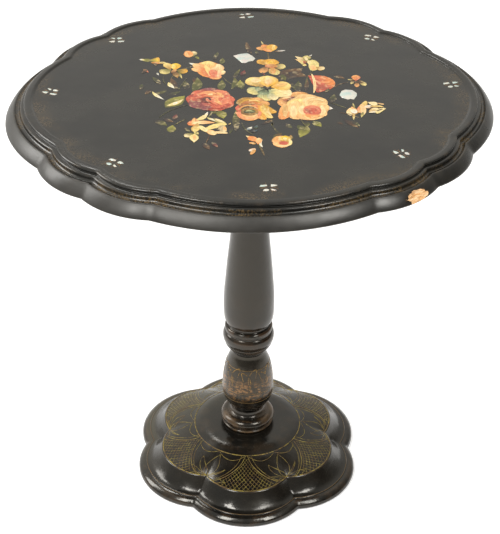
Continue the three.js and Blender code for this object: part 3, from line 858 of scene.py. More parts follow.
@dataclass
class TableTop:
    """The moulded top: a flat panel in a stepped rim of twelve lobes, chipped at the front right."""

    cusp_radius: float = 311.0
    oval: float = 0.95
    cusp_angles: tuple[float, ...] = (27.2, 45.0, 62.8)
    rises: tuple[float, ...] = (12.5, 12.5, 39.0, 12.5, 12.5, 52.4)
    steps: tuple[int, ...] = (14, 14, 52, 14, 14, 52)
    recess: float = 2.5
    thickness: float = 11.5
    rim: tuple[tuple[Point, ...], ...] = (
        ((-5.0, 2.5), (-3.6, 2.3), (-1.5, 0.7), (0.0, 0.0)),
        ((0.0, 0.0), (1.6, -0.1), (6.0, 0.0), (8.6, 0.9), (9.5, 2.4), (9.2, 4.6)),
        ((9.2, 4.6), (9.4, 5.3), (10.6, 5.5), (12.8, 5.9), (14.4, 7.0), (14.8, 8.6)),
        ((14.8, 8.6), (15.2, 11.0), (16.8, 12.6), (19.0, 12.9), (21.4, 11.6)),
        ((21.4, 11.6), (22.6, 10.6), (24.2, 10.8)),
        ((24.2, 10.8), (28.0, 14.2), (31.8, 18.8), (34.8, 23.4), (36.2, 26.6), (35.8, 27.8), (34.8, 28.0)),
    )
    under: tuple[tuple[Point, ...], ...] = (
        ((34.8, 28.0), (32.6, 28.2), (31.0, 27.2)),
        ((31.0, 27.2), (28.2, 23.4), (24.4, 19.6), (20.0, 17.4), (14.0, 16.4), (4.0, 15.0), (-4.0, 14.0)),
    )
    lean: tuple[float, float] = (-2.6, -3.5)  # the moulded edge stands a little off the middle
    warp: float = -4.0  # and hangs lower on the left
    reach: float = 36.0
    panel_rings: int = 12
    chip_place: tuple[float, float, float] = (219.0, -277.6, -10.4)
    chip_reach: tuple[float, float, float] = (34.0, 15.0, 16.0)
    chip_turn: float = 31.0
    underside: float = 60.0  # the mark that keeps the rim's finish off the underside
    lobes: list[Lobe] = field(default_factory=list)

    def __post_init__(self) -> None:
        """Works out the lobes from the cusps."""
        self.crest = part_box("table_top")[1].z / MM
        first = list(self.cusp_angles)
        half = [*first, *(180 - a for a in reversed(first))]
        angles = [*half, *(180 + a for a in half)]
        cusps = [
            Vector((math.cos(math.radians(a)), self.oval * math.sin(math.radians(a)))) * self.cusp_radius
            for a in angles
        ]
        for k, (one, two) in enumerate(zip(cusps, cusps[1:] + cusps[:1])):
            chord, rise = (two - one).length, self.rises[k % len(self.rises)]
            radius = chord**2 / (8 * rise) + rise / 2
            outwards = Vector((two.y - one.y, one.x - two.x)).normalized()
            self.lobes.append(Lobe((one + two) / 2 + outwards * (rise - radius), radius))

    def ring(self, offset: float, drop: float) -> Row:
        """A ring parallel to the crest.

        Args:
            offset: how far outwards from the crest, in millimetres.
            drop: how far below it.

        Returns:
            The ring's points, in metres.
        """
        found = []
        count = len(self.lobes)
        for k, lobe in enumerate(self.lobes):
            start = self.lobes[k - 1].meeting(lobe, offset) - lobe.centre
            end = lobe.meeting(self.lobes[(k + 1) % count], offset) - lobe.centre
            first = math.atan2(start.y, start.x)
            sweep = (math.atan2(end.y, end.x) - first) % math.tau
            steps = self.steps[k % len(self.steps)]
            for i in range(steps):
                angle = first + sweep * i / steps
                spot = lobe.centre + Vector((math.cos(angle), math.sin(angle))) * (lobe.radius + offset)
                share = min(max(offset / self.reach, 0.0), 1.0)
                low = drop + self.warp * share * spot.x / self.cusp_radius
                spot += Vector(self.lean) * share
                found.append(Vector((spot.x, spot.y, self.crest - low)) * MM)
        return found

    def panel_height(self) -> float:
        """Height of the painted panel, in millimetres."""
        return self.crest - self.recess

    def build(self) -> Object:
        """Builds the top and breaks the chip out of its rim.

        Returns:
            The piece.
        """
        outline = outline_of([list(s) for s in (*self.rim, *self.under)], 3)
        rub = rub_of([(a, -b) for a, b in reversed(outline)])[::-1]
        rows = [self.ring(a, b) for a, b in outline]
        upper = len(outline) * 0.7
        across = [a if k < upper else self.underside for k, (a, _) in enumerate(outline)]
        lead, tail = [], []
        lead_across = []
        for k in range(self.panel_rings):
            share = ((k + 1) / (self.panel_rings + 1)) ** 0.45
            lead.append([Vector((p.x * share, p.y * share, p.z)) for p in rows[0]])
            lead_across.append(outline[0][0] - (1 - share) * self.cusp_radius)
            tail.append([Vector((p.x * share, p.y * share, p.z)) for p in rows[-1]])
        tail.reverse()
        skin = Skin(
            "painted_top",
            [*lead, *rows, *tail],
            [*lead_across, *across, *[self.underside] * len(tail)],
            [*[0.0] * len(lead), *rub, *[0.0] * len(tail)],
        )
        top = skin.build()
        settle(top, Body.TOP, Slot.LACQUER, TopLacquer().material(), BrokenBoard().material())
        self._chip(top)
        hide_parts("table_top")
        return top

    def _chip(self, top: Object) -> None:
        """Breaks a flake out of the rim, leaving bare board.

        Args:
            top: the finished top.
        """
        deselect()
        bpy.ops.mesh.primitive_ico_sphere_add(subdivisions=5, radius=1.0)
        lump = bpy.context.object
        place = Vector(self.chip_place) + Vector((0, 0, self.crest))
        turn = Matrix.Rotation(math.radians(self.chip_turn), 4, "Z")
        for vert in lump.data.vertices:
            spot = vert.co.copy()
            tear = 0.16 * noise.noise(spot * 2.3) + 0.09 * noise.noise(spot * 7.0 + Vector((3, 1, 2)))
            spot = Vector((s * r for s, r in zip(spot * (1 + tear), self.chip_reach)))
            vert.co = (turn @ spot + place) * MM
        lump.data.materials.append(BrokenBoard().material())
        modifier = top.modifiers.new("chip", "BOOLEAN")
        modifier.object, modifier.operation, modifier.solver = lump, "DIFFERENCE", "EXACT"
        modifier.material_mode = "TRANSFER"
        bpy.context.view_layer.objects.active = top
        bpy.ops.object.modifier_apply(modifier="chip")
        bpy.data.objects.remove(lump)


# ------------------------------------------------------------------------------------------ painting
class Tint(Enum):
    """The painter's colours."""

    WHITE = (226, 224, 212)
    CREAM = (234, 212, 160)
    BUTTER = (234, 206, 128)
    STRAW = (214, 196, 126)
    YELLOW = (226, 186, 62)
    GOLD = (214, 160, 64)
    OCHRE = (170, 128, 66)
    PEACH = (232, 188, 128)
    APRICOT = (226, 164, 102)
    ORANGE = (220, 138, 78)
    SALMON = (218, 132, 98)
    CORAL = (200, 104, 80)
    RED = (178, 82, 66)
    WINE = (128, 66, 62)
    MAUVE = (138, 84, 84)
    BROWN = (104, 78, 52)
    UMBER = (60, 48, 36)
    SAGE = (146, 158, 122)
    LIME = (148, 144, 70)
    OLIVE = (100, 98, 50)
    MOSS = (82, 84, 48)
    FOREST = (62, 72, 52)
    SLATE = (84, 98, 104)

    def linear(self) -> Vector:
        """The colour with the varnish's sheen taken off."""
        sheen = 0.035
        return Vector([max(c - sheen, 0.004) for c in colour(*self.value)[:3]])


class Form(Enum):
    """How a stroke's width changes from its root to its tip."""

    PETAL = "petal"
    LEAF = "leaf"
    FLARE = "flare"
    BOWL = "bowl"
    STROKE = "stroke"

    def width(self, v: float) -> float:
        """The share of the full width at v.

        Args:
            v: from 0 at the root to 1 at the tip.

        Returns:
            From 0 to 1.
        """
        v = min(max(v, 0.0), 1.0)
        if self is Form.PETAL:
            return math.sin(math.pi * v**1.45) ** 0.62 if 0 < v < 1 else 0.0
        if self is Form.LEAF:
            return math.sin(math.pi * v**0.85) ** 1.1 if 0 < v < 1 else 0.0
        if self is Form.FLARE:
            return (0.2 + 0.8 * v) * math.sqrt(max(0.0, 1 - max(0.0, (v - 0.82) / 0.18) ** 2))
        if self is Form.BOWL:
            return math.sqrt(max(0.0, 1 - v**2.2))
        return math.sin(math.pi * v) ** 0.4 if 0 < v < 1 else 0.0


@dataclass(frozen=True)
class Stroke:
    """One stroke of the brush: from its root to its tip, in millimetres on the panel."""

    x0: float
    y0: float
    x1: float
    y1: float
    width: float
    dark: Tint
    light: Tint
    form: Form = Form.PETAL
    bend: float = 0.0


P, L, F, B, S = Form.PETAL, Form.LEAF, Form.FLARE, Form.BOWL, Form.STROKE
T = Tint
FLOWERS: dict[str, list[tuple]] = {
    "yellow_bell": [
        (-150, 121, -163, 124, 10, T.OLIVE, T.LIME, S), (-160, 123, -168, 126, 6, T.STRAW, T.WHITE, L),
        (-153, 121, -136, 121, 26, T.OLIVE, T.GOLD, F), (-150, 121, -138, 123, 14, T.LIME, T.YELLOW, F),
        (-150, 114, -136, 110, 5, T.OCHRE, T.ORANGE, S), (-138, 113, -127, 112, 7, T.OCHRE, T.STRAW, S),
    ],
    "yellow_five": [
        (-108, 80, -103, 57, 4, T.OLIVE, T.STRAW, L), (-114, 82, -110, 60, 11, T.BROWN, T.OCHRE, L),
        (-119, 90, -136, 77, 19, T.OLIVE, T.STRAW), (-111, 86, -94, 80, 18, T.OLIVE, T.GOLD),
        (-120, 88, -127, 112, 14, T.OCHRE, T.BUTTER), (-114, 86, -111, 110, 17, T.GOLD, T.YELLOW),
        (-116, 90, -114, 106, 6, T.YELLOW, T.BUTTER, S), (-119, 76, -111, 90, 8, T.BROWN, T.APRICOT, L),
    ],
    "orange_bud": [
        (-80, 134, -75, 123, 6, T.OLIVE, T.LIME, L), (-84, 132, -82, 151, 12, T.OLIVE, T.CREAM, P),
        (-91, 130, -91, 153, 15, T.APRICOT, T.ORANGE, S), (-94, 134, -94, 150, 5, T.APRICOT, T.PEACH, S),
    ],
    "pale_rosebud": [
        (-72, 98, -92, 111, 8, T.STRAW, T.WHITE, L), (-54, 60, -67, 114, 42, T.ORANGE, T.APRICOT, S),
        (-60, 70, -36, 80, 18, T.APRICOT, T.CREAM), (-54, 66, -45, 105, 22, T.APRICOT, T.CREAM),
        (-64, 84, -60, 116, 26, T.APRICOT, T.BUTTER), (-60, 84, -88, 90, 18, T.ORANGE, T.PEACH),
        (-62, 82, -84, 107, 18, T.ORANGE, T.PEACH), (-58, 74, -48, 53, 20, T.SALMON, T.APRICOT),
        (-60, 60, -72, 92, 12, T.CORAL, T.ORANGE, S), (-57, 62, -66, 102, 9, T.PEACH, T.BUTTER, S),
        (-52, 58, -56, 86, 15, T.CORAL, T.SALMON, S), (-47, 58, -45, 84, 6, T.SALMON, T.CREAM, S),
    ],
    "orange_bell": [
        (30, 166, 26, 185, 3, T.BROWN, T.STRAW, L), (45, 145, 63, 149, 6, T.BROWN, T.WHITE, L),
        (37, 152, 17, 160, 13, T.OCHRE, T.APRICOT), (38, 148, 28, 171, 15, T.OCHRE, T.ORANGE),
        (40, 145, 43, 171, 18, T.GOLD, T.GOLD), (43, 150, 46, 168, 6, T.GOLD, T.BUTTER, S),
        (28, 156, 40, 145, 10, T.ORANGE, T.APRICOT, S),
    ],
    "orange_five": [
        (38, 96, 58, 90, 20, T.BROWN, T.STRAW), (35, 92, 42, 64, 18, T.OCHRE, T.STRAW),
        (38, 90, 37, 68, 9, T.OCHRE, T.APRICOT, S), (31, 96, 18, 72, 15, T.BROWN, T.APRICOT),
        (32, 98, 17, 117, 18, T.OCHRE, T.GOLD), (31, 96, 42, 118, 24, T.GOLD, T.GOLD),
        (34, 100, 38, 112, 10, T.GOLD, T.YELLOW, S), (26, 96, 46, 94, 13, T.SALMON, T.OCHRE, S),
    ],
    "pale_bells": [
        (88, 98, 75, 128, 13, T.OCHRE, T.CREAM, L, 0.16), (85, 98, 74, 117, 8, T.STRAW, T.PEACH, L, 0.2),
        (86, 98, 90, 94, 7, T.STRAW, T.BUTTER, S), (92, 109, 95, 129, 14, T.OLIVE, T.STRAW, P),
        (97, 124, 103, 132, 4, T.BROWN, T.WHITE, L), (93, 111, 92, 124, 5, T.CREAM, T.CREAM, S),
        (99, 76, 102, 114, 17, T.STRAW, T.STRAW, S, 0.05), (97, 98, 96, 112, 7, T.BUTTER, T.CREAM, S),
        (101, 78, 100, 96, 9, T.APRICOT, T.PEACH, S), (105, 88, 117, 80, 15, T.OCHRE, T.CREAM, P),
        (88, 110, 90, 101, 5, T.CORAL, T.BROWN, S),
    ],
    "red_tulip": [
        (94, 33, 129, 38, 56, T.RED, T.ORANGE, B), (96, 46, 127, 42, 26, T.CORAL, T.ORANGE, B),
        (95, 28, 112, 30, 46, T.RED, T.CORAL, B), (98, 22, 121, 22, 15, T.WINE, T.CORAL, S),
        (104, 38, 122, 36, 5, T.SALMON, T.APRICOT, S), (101, 14, 101, 3, 5, T.WINE, T.RED, L),
        (96, 66, 93, 2, 4.5, T.CREAM, T.PEACH, S, -0.05),
    ],
    "brown_flower": [
        (158, 42, 149, 46, 5, T.BROWN, T.STRAW, L), (158, 40, 152, 29, 6, T.BROWN, T.STRAW, L),
        (167, 42, 174, 23, 10, T.BROWN, T.STRAW, P), (163, 38, 160, 19, 8, T.BROWN, T.APRICOT, P),
        (161, 40, 164, 59, 14, T.CORAL, T.APRICOT, P), (159, 44, 161, 55, 6, T.ORANGE, T.ORANGE, S),
        (157, 37, 171, 34, 8, T.UMBER, T.BROWN, S),
    ],
    "big_yellow": [
        (20, 14, 20, -20, 26, T.SAGE, T.STRAW), (27, 12, 33, -18, 18, T.SAGE, T.CREAM),
        (20, 20, -6, 8, 27, T.SAGE, T.STRAW), (30, 18, 58, -4, 30, T.STRAW, T.CREAM),
        (18, 24, 0, 57, 32, T.OCHRE, T.BUTTER), (30, 24, 61, 30, 31, T.GOLD, T.BUTTER),
        (25, 24, 28, 62, 33, T.GOLD, T.BUTTER), (12, 40, 6, 54, 16, T.PEACH, T.CREAM, S),
        (26, 32, 29, 57, 12, T.APRICOT, T.CREAM, S), (36, 26, 56, 36, 11, T.GOLD, T.PEACH, S),
        (22, 20, 6, 16, 20, T.FOREST, T.SAGE), (22, 18, 14, 0, 18, T.FOREST, T.SAGE),
        (26, 16, 36, 4, 11, T.SAGE, T.STRAW), (36, 10, 53, 0, 10, T.BUTTER, T.CREAM, S),
        (20, 22, 28, 21, 7, T.UMBER, T.UMBER, S),
    ],
    "red_ranunculus": [
        (-64, -14, -62, 26, 40, T.WINE, T.MAUVE), (-62, -12, -86, 16, 34, T.WINE, T.CORAL),
        (-62, -12, -38, 14, 34, T.WINE, T.SALMON), (-62, -14, -99, -6, 36, T.WINE, T.RED),
        (-62, -14, -94, -32, 32, T.WINE, T.MAUVE), (-62, -16, -74, -45, 34, T.WINE, T.MAUVE),
        (-62, -16, -48, -47, 36, T.WINE, T.RED), (-60, -16, -30, -34, 32, T.WINE, T.RED),
        (-60, -14, -26, -14, 32, T.RED, T.CORAL), (-34, 2, -31, -30, 8, T.CORAL, T.SALMON, S, 0.14),
        (-44, 10, -40, -36, 9, T.SALMON, T.CORAL, S, 0.2), (-62, -12, -46, 8, 24, T.CORAL, T.APRICOT),
        (-66, -10, -62, 16, 24, T.RED, T.SALMON), (-70, -12, -84, 10, 20, T.RED, T.CORAL),
        (-72, -16, -92, -4, 18, T.WINE, T.CORAL), (-72, -20, -88, -26, 18, T.WINE, T.MAUVE),
        (-66, -22, -70, -40, 22, T.WINE, T.MAUVE), (-58, -20, -50, -40, 22, T.RED, T.CORAL),
        (-54, -16, -36, -24, 22, T.CORAL, T.SALMON), (-80, 4, -52, 4, 9, T.SALMON, T.APRICOT, S, -0.22),
        (-74, -2, -50, -10, 9, T.CORAL, T.APRICOT, S, -0.26),
        (-50, 2, -46, -30, 8, T.SALMON, T.APRICOT, S, 0.2),
        (-56, -4, -53, -30, 7, T.CORAL, T.SALMON, S, 0.22), (-84, -8, -72, -4, 7, T.CORAL, T.CORAL, S, -0.2),
        (-76, -24, -60, -28, 9, T.MAUVE, T.CORAL, S, 0.2), (-76, -12, -62, -16, 17, T.WINE, T.UMBER, S, -0.1),
        (-68, -8, -60, -20, 5, T.SALMON, T.CORAL, S, 0.2), (-66, 3, -58, 4, 5, T.PEACH, T.CREAM, S),
    ],
    "golden_rose": [
        (0, -40, -14, -8, 34, T.BROWN, T.OCHRE), (2, -40, 8, -8, 26, T.BROWN, T.APRICOT),
        (6, -40, 22, -22, 18, T.OCHRE, T.APRICOT), (-4, -44, -27, -38, 26, T.WINE, T.CORAL),
        (12, -30, 31, -58, 20, T.OCHRE, T.GOLD, S, 0.14), (10, -28, 24, -74, 18, T.OCHRE, T.BUTTER, S, 0.1),
        (6, -28, 14, -78, 18, T.ORANGE, T.GOLD, S, 0.12), (2, -30, 4, -74, 20, T.CORAL, T.ORANGE, S, 0.16),
        (-20, -30, 12, -26, 14, T.OCHRE, T.GOLD, S, -0.3),
        (-22, -36, 14, -34, 11, T.BROWN, T.ORANGE, S, -0.34),
        (-8, -52, -8, -80, 38, T.SALMON, T.APRICOT, B), (-22, -46, 6, -44, 12, T.OCHRE, T.APRICOT, S, -0.3),
        (-20, -54, 6, -54, 26, T.BROWN, T.OCHRE, S), (-20, -46, 4, -44, 5, T.UMBER, T.BROWN, S, -0.3),
        (-16, -53, 2, -52, 12, T.UMBER, T.OLIVE, S), (-12, -50, -2, -52, 4, T.STRAW, T.SAGE, S, -0.2),
        (-19, -60, 4, -62, 8, T.APRICOT, T.PEACH, S, 0.36), (-15, -68, 2, -69, 6, T.SALMON, T.PEACH, S, 0.3),
        (12, -34, 18, -66, 5, T.GOLD, T.BUTTER, S, 0.1), (22, -40, 25, -68, 4, T.GOLD, T.CREAM, S, 0.1),
        (-6, -20, 10, -22, 5, T.APRICOT, T.BUTTER, S, -0.2),
    ],
    "peach_rose": [
        (72, -16, 68, 8, 28, T.OCHRE, T.APRICOT), (66, -24, 36, -26, 34, T.BROWN, T.APRICOT),
        (60, -26, 50, -6, 22, T.BROWN, T.SALMON), (104, -44, 117, -48, 12, T.OCHRE, T.WHITE, L),
        (50, -30, 38, -78, 20, T.APRICOT, T.ORANGE, S, -0.05), (47, -32, 44, -72, 8, T.OCHRE, T.PEACH, S),
        (76, -34, 88, -2, 46, T.OCHRE, T.PEACH), (78, -34, 110, -20, 36, T.OCHRE, T.PEACH),
        (80, -44, 112, -44, 36, T.APRICOT, T.PEACH), (74, -34, 56, -78, 30, T.APRICOT, T.PEACH, S, -0.04),
        (78, -44, 84, -82, 46, T.APRICOT, T.PEACH), (80, -44, 104, -70, 24, T.APRICOT, T.PEACH),
        (70, -54, 74, -14, 46, T.PEACH, T.BUTTER, S), (54, -56, 66, -22, 18, T.PEACH, T.PEACH, S),
        (78, -40, 92, -14, 26, T.PEACH, T.PEACH), (56, -72, 60, -36, 12, T.PEACH, T.CREAM, S),
        (72, -66, 74, -36, 11, T.PEACH, T.CREAM, S, -0.1), (96, -70, 100, -38, 9, T.PEACH, T.CREAM, S, 0.12),
        (72, -52, 99, -54, 32, T.CORAL, T.CORAL, S), (76, -60, 90, -46, 18, T.RED, T.CORAL, S),
        (74, -66, 96, -68, 11, T.ORANGE, T.APRICOT, S, 0.2),
        (76, -45, 96, -42, 6, T.SALMON, T.SALMON, S, -0.2),
        (76, -48, 84, -62, 5, T.WINE, T.RED, S), (44, -16, 58, -10, 5, T.APRICOT, T.CREAM, S, -0.1),
        (50, -22, 64, -8, 4, T.BROWN, T.WINE, S), (54, -22, 68, -10, 3, T.APRICOT, T.CREAM, S),
        (74, -28, 96, -12, 7, T.PEACH, T.CREAM, S, -0.2), (84, -24, 106, -26, 6, T.PEACH, T.CREAM, S, -0.3),
    ],
    "honeysuckle": [
        (-84, -70, -97, -90, 16, T.CORAL, T.ORANGE, P, -0.1), (-88, -68, -92, -88, 5, T.APRICOT, T.PEACH, S),
        (-87, -76, -69, -54, 9, T.STRAW, T.CREAM, L, 0.12), (-72, -64, -68, -50, 4, T.CREAM, T.WHITE, L),
        (-58, -84, -92, -84, 11, T.APRICOT, T.CREAM, P, 0.06),
        (-84, -84, -90, -110, 13, T.OCHRE, T.BUTTER, P),
        (-64, -72, -44, -87, 10, T.OLIVE, T.STRAW, S), (-70, -68, -58, -78, 5, T.STRAW, T.WHITE, L),
        (-58, -72, -46, -84, 5, T.CREAM, T.CREAM, S), (-42, -88, -74, -104, 12, T.STRAW, T.BUTTER, S, 0.06),
        (-82, -92, -70, -112, 9, T.STRAW, T.CREAM, S), (-70, -106, -60, -120, 12, T.APRICOT, T.CREAM, S),
        (-66, -114, -42, -116, 7, T.PEACH, T.CREAM, S, -0.08),
        (-49, -92, -46, -112, 13, T.BROWN, T.CREAM, S, 0.1),
        (-46, -96, -45, -108, 5, T.APRICOT, T.PEACH, S), (-64, -104, -52, -106, 9, T.UMBER, T.UMBER, L),
        (-92, -114, -104, -124, 12, T.OLIVE, T.CREAM, P), (-90, -110, -84, -118, 8, T.OLIVE, T.STRAW, L),
        (-90, -116, -91, -141, 14, T.STRAW, T.CREAM, L), (-90, -120, -89, -134, 5, T.APRICOT, T.PEACH, S),
        (-89, -102, -89, -116, 2.5, T.STRAW, T.STRAW, S), (-40, -92, -36, -86, 3, T.BROWN, T.STRAW, L),
    ],
    "bud_sprig": [
        (141, -70, 145, -42, 16, T.OCHRE, T.APRICOT, L, 0.14), (137, -56, 141, -70, 7, T.CREAM, T.CREAM, S),
        (144, -46, 136, -60, 5, T.PEACH, T.CREAM, S), (146, -50, 147, -64, 11, T.CREAM, T.WHITE, S),
        (146, -62, 143, -84, 4, T.OCHRE, T.STRAW, L), (149, -48, 148, -31, 3, T.OLIVE, T.STRAW, L),
        (154, -50, 169, -26, 9, T.OCHRE, T.BUTTER, S, 0.06), (158, -42, 154, -62, 8, T.CORAL, T.PEACH, S),
        (160, -36, 158, -70, 9, T.APRICOT, T.CREAM, S, -0.06), (160, -60, 155, -77, 5, T.OLIVE, T.STRAW, L),
        (168, -50, 184, -42, 16, T.UMBER, T.BROWN, S), (171, -30, 184, -38, 12, T.CREAM, T.CREAM, P),
        (184, -34, 194, -38, 5, T.BROWN, T.PEACH, S), (164, -47, 174, -41, 9, T.PEACH, T.WHITE, S),
        (172, -44, 192, -46, 6, T.OCHRE, T.BUTTER, S, -0.1), (168, -60, 184, -50, 12, T.OCHRE, T.CREAM, P),
        (168, -62, 182, -60, 4, T.CREAM, T.WHITE, S), (179, -66, 194, -50, 9, T.STRAW, T.CREAM, S, -0.1),
        (180, -58, 190, -52, 3, T.UMBER, T.BROWN, S),
    ],
    "orange_buds": [
        (0, -146, 6, -182, 3, T.MOSS, T.BROWN, S), (6, -136, 5, -158, 4, T.STRAW, T.WHITE, S, 0.14),
        (-4, -134, -17, -124, 7, T.ORANGE, T.CREAM, L), (-2, -142, -12, -126, 13, T.ORANGE, T.ORANGE, P),
        (-4, -148, -13, -144, 6, T.OCHRE, T.APRICOT, S), (-1, -150, 2, -131, 10, T.ORANGE, T.PEACH, P),
        (-5, -162, -15, -168, 7, T.APRICOT, T.WHITE, S), (-6, -164, -13, -178, 6, T.OCHRE, T.APRICOT, S),
    ],
    "small_rosebud": [
        (22, -132, 36, -118, 9, T.MOSS, T.BROWN, L), (46, -140, 48, -124, 7, T.MOSS, T.OCHRE, L),
        (34, -156, 33, -126, 28, T.OCHRE, T.APRICOT, S), (38, -150, 40, -126, 17, T.OCHRE, T.YELLOW, P),
        (38, -138, 39, -131, 6, T.BUTTER, T.CREAM, S), (26, -152, 24, -136, 9, T.ORANGE, T.APRICOT, S),
        (20, -148, 46, -150, 12, T.APRICOT, T.PEACH, S, 0.2),
        (44, -136, 44, -154, 5, T.CREAM, T.BUTTER, S, -0.1),
        (29, -148, 42, -149, 11, T.RED, T.CORAL, S, -0.1), (24, -153, 42, -155, 4, T.PEACH, T.CREAM, S, 0.1),
    ],
    "white_slips": [
        (-124, 46, -115, 26, 8, T.STRAW, T.WHITE, L, 0.08),
        (-149, 17, -131, -10, 6, T.STRAW, T.WHITE, L, 0.06),
        (-128, -30, -102, -9, 9, T.STRAW, T.CREAM, L, 0.06), (-118, -26, -112, -18, 6, T.CREAM, T.WHITE, S),
        (-141, 80, -139, 70, 4, T.SLATE, T.WHITE, L), (-162, 92, -154, 80, 6, T.BROWN, T.SALMON, L),
        (-14, -108, -6, -98, 7, T.SLATE, T.WHITE, L), (-2, -104, 2, -94, 6, T.FOREST, T.SLATE, L),
        (-8, -114, 2, -108, 6, T.UMBER, T.SLATE, L),
    ],
}
LEAVES: dict[str, list[tuple]] = {
    "leaves_upper_left": [
        (-88, 14, -80, 62, 16, T.MOSS, T.OLIVE, L, 0.08), (-96, 20, -100, 52, 12, T.UMBER, T.MOSS, L),
        (-112, 20, -120, 62, 12, T.UMBER, T.BROWN, L), (-46, 16, -42, 52, 13, T.MOSS, T.OLIVE, L),
        (-30, 20, -24, 62, 9, T.MOSS, T.OLIVE, L, 0.1), (-14, 20, -15, 50, 12, T.MOSS, T.LIME, L),
        (-26, 54, -12, 88, 7, T.UMBER, T.OLIVE, L), (-12, 62, -6, 82, 9, T.UMBER, T.WINE, L),
        (-40, 104, -38, 126, 9, T.MOSS, T.OLIVE, L), (-52, 118, -44, 148, 8, T.UMBER, T.MOSS, L),
        (-84, 62, -86, 44, 6, T.UMBER, T.BROWN, L), (-166, 24, -164, 42, 8, T.UMBER, T.MOSS, L),
        (-136, 40, -148, 66, 9, T.UMBER, T.MOSS, L), (-150, 24, -160, 8, 8, T.UMBER, T.BROWN, L),
        (-144, 112, -142, 102, 6, T.UMBER, T.BROWN, L), (-164, 78, -156, 90, 7, T.UMBER, T.BROWN, L),
    ],
    "leaves_lower_left": [
        (-130, -34, -100, 2, 26, T.OLIVE, T.LIME, L), (-128, 2, -106, 16, 9, T.UMBER, T.MOSS, L),
        (-148, 4, -126, 20, 9, T.UMBER, T.OLIVE, L), (-124, -110, -120, -88, 14, T.OLIVE, T.LIME, L),
        (-146, -72, -128, -90, 13, T.UMBER, T.OLIVE, L), (-134, -68, -118, -80, 8, T.UMBER, T.BROWN, L),
        (-118, -74, -114, -56, 8, T.UMBER, T.WINE, L), (-50, -46, -46, -72, 16, T.OLIVE, T.LIME, L),
        (-64, -48, -54, -56, 9, T.MOSS, T.OLIVE, L), (-30, -112, -26, -44, 12, T.UMBER, T.OLIVE, L),
        (-34, -96, -40, -118, 6, T.UMBER, T.MOSS, L), (-78, -142, -70, -162, 10, T.UMBER, T.BROWN, L),
        (-66, -140, -58, -156, 7, T.UMBER, T.WINE, L), (-104, -92, -96, -112, 6, T.UMBER, T.MOSS, L),
    ],
    "leaves_upper_right": [
        (42, 50, 84, 86, 34, T.UMBER, T.BROWN, L), (60, 72, 88, 58, 20, T.UMBER, T.BROWN, L),
        (70, 6, 74, 44, 13, T.UMBER, T.MOSS, L), (82, 8, 88, 50, 8, T.UMBER, T.BROWN, L),
        (62, 40, 66, 14, 8, T.UMBER, T.MOSS, L), (116, -30, 124, -2, 12, T.UMBER, T.MOSS, L),
        (128, 60, 146, 48, 10, T.UMBER, T.BROWN, L), (6, 140, 2, 182, 9, T.UMBER, T.BROWN, L),
        (18, 136, 16, 150, 6, T.UMBER, T.MOSS, L), (50, 66, 54, 44, 9, T.MOSS, T.OLIVE, L),
        (20, 74, 24, 64, 5, T.UMBER, T.WINE, L), (110, 4, 118, 16, 6, T.UMBER, T.MOSS, L),
    ],
    "leaves_lower_right": [
        (74, -98, 60, -132, 17, T.OLIVE, T.LIME, L), (60, -96, 70, -112, 12, T.MOSS, T.OLIVE, L),
        (84, -84, 94, -102, 13, T.MOSS, T.LIME, L), (72, -84, 76, -100, 10, T.UMBER, T.OLIVE, L),
        (42, -90, 52, -104, 8, T.UMBER, T.MOSS, L), (128, -80, 148, -108, 10, T.UMBER, T.BROWN, L),
        (140, -86, 150, -102, 8, T.UMBER, T.MOSS, L), (8, -92, 26, -78, 6, T.UMBER, T.BROWN, L),
        (118, -88, 126, -96, 5, T.UMBER, T.BROWN, L), (26, -84, 22, -96, 4, T.UMBER, T.MOSS, L),
    ],
    "stems": [
        (-84, 100, -120, 60, 2.4, T.UMBER, T.OLIVE, S, 0.1), (-76, 122, -60, 112, 2, T.UMBER, T.OLIVE, S),
        (-40, 60, -10, 20, 2.4, T.UMBER, T.OLIVE, S, 0.1), (34, 144, 34, 118, 2.4, T.MOSS, T.BROWN, S),
        (4, 180, 8, 140, 2.6, T.UMBER, T.BROWN, S), (100, 76, 84, 30, 2.4, T.UMBER, T.OLIVE, S, 0.08),
        (150, 36, 126, 20, 2, T.UMBER, T.BROWN, S, 0.1), (114, -28, 136, -46, 2.4, T.UMBER, T.OLIVE, S),
        (152, -78, 124, -60, 2, T.UMBER, T.BROWN, S, 0.1), (24, -80, 34, -122, 2.2, T.UMBER, T.MOSS, S, 0.1),
        (-20, -84, -4, -124, 2.4, T.UMBER, T.MOSS, S, 0.1), (66, -80, 72, -100, 2.6, T.UMBER, T.OLIVE, S),
        (-96, -28, -140, -66, 2, T.UMBER, T.MOSS, S, 0.1), (-100, -70, -118, -88, 2, T.UMBER, T.OLIVE, S),
        (-60, -48, -68, -68, 2.4, T.UMBER, T.OLIVE, S), (-130, 70, -128, 40, 2, T.UMBER, T.MOSS, S, 0.1),
        (-96, 60, -110, 20, 2, T.UMBER, T.MOSS, S), (-68, -120, -74, -142, 2, T.UMBER, T.BROWN, S),
    ],
}
PLAQUES: dict[str, list[Point]] = {
    "pearl_plaque_back": [
        (-21, 133), (-10, 139), (2, 141), (9, 131), (13, 122), (9, 114), (2, 112), (-3, 107), (-9, 108),
    ],
    "pearl_plaque_side": [
        (131, -5), (136, 8), (142, 12), (152, 10), (158, 0), (157, -8), (151, -20), (146, -18),
        (142, -20), (134, -14),
    ],
}


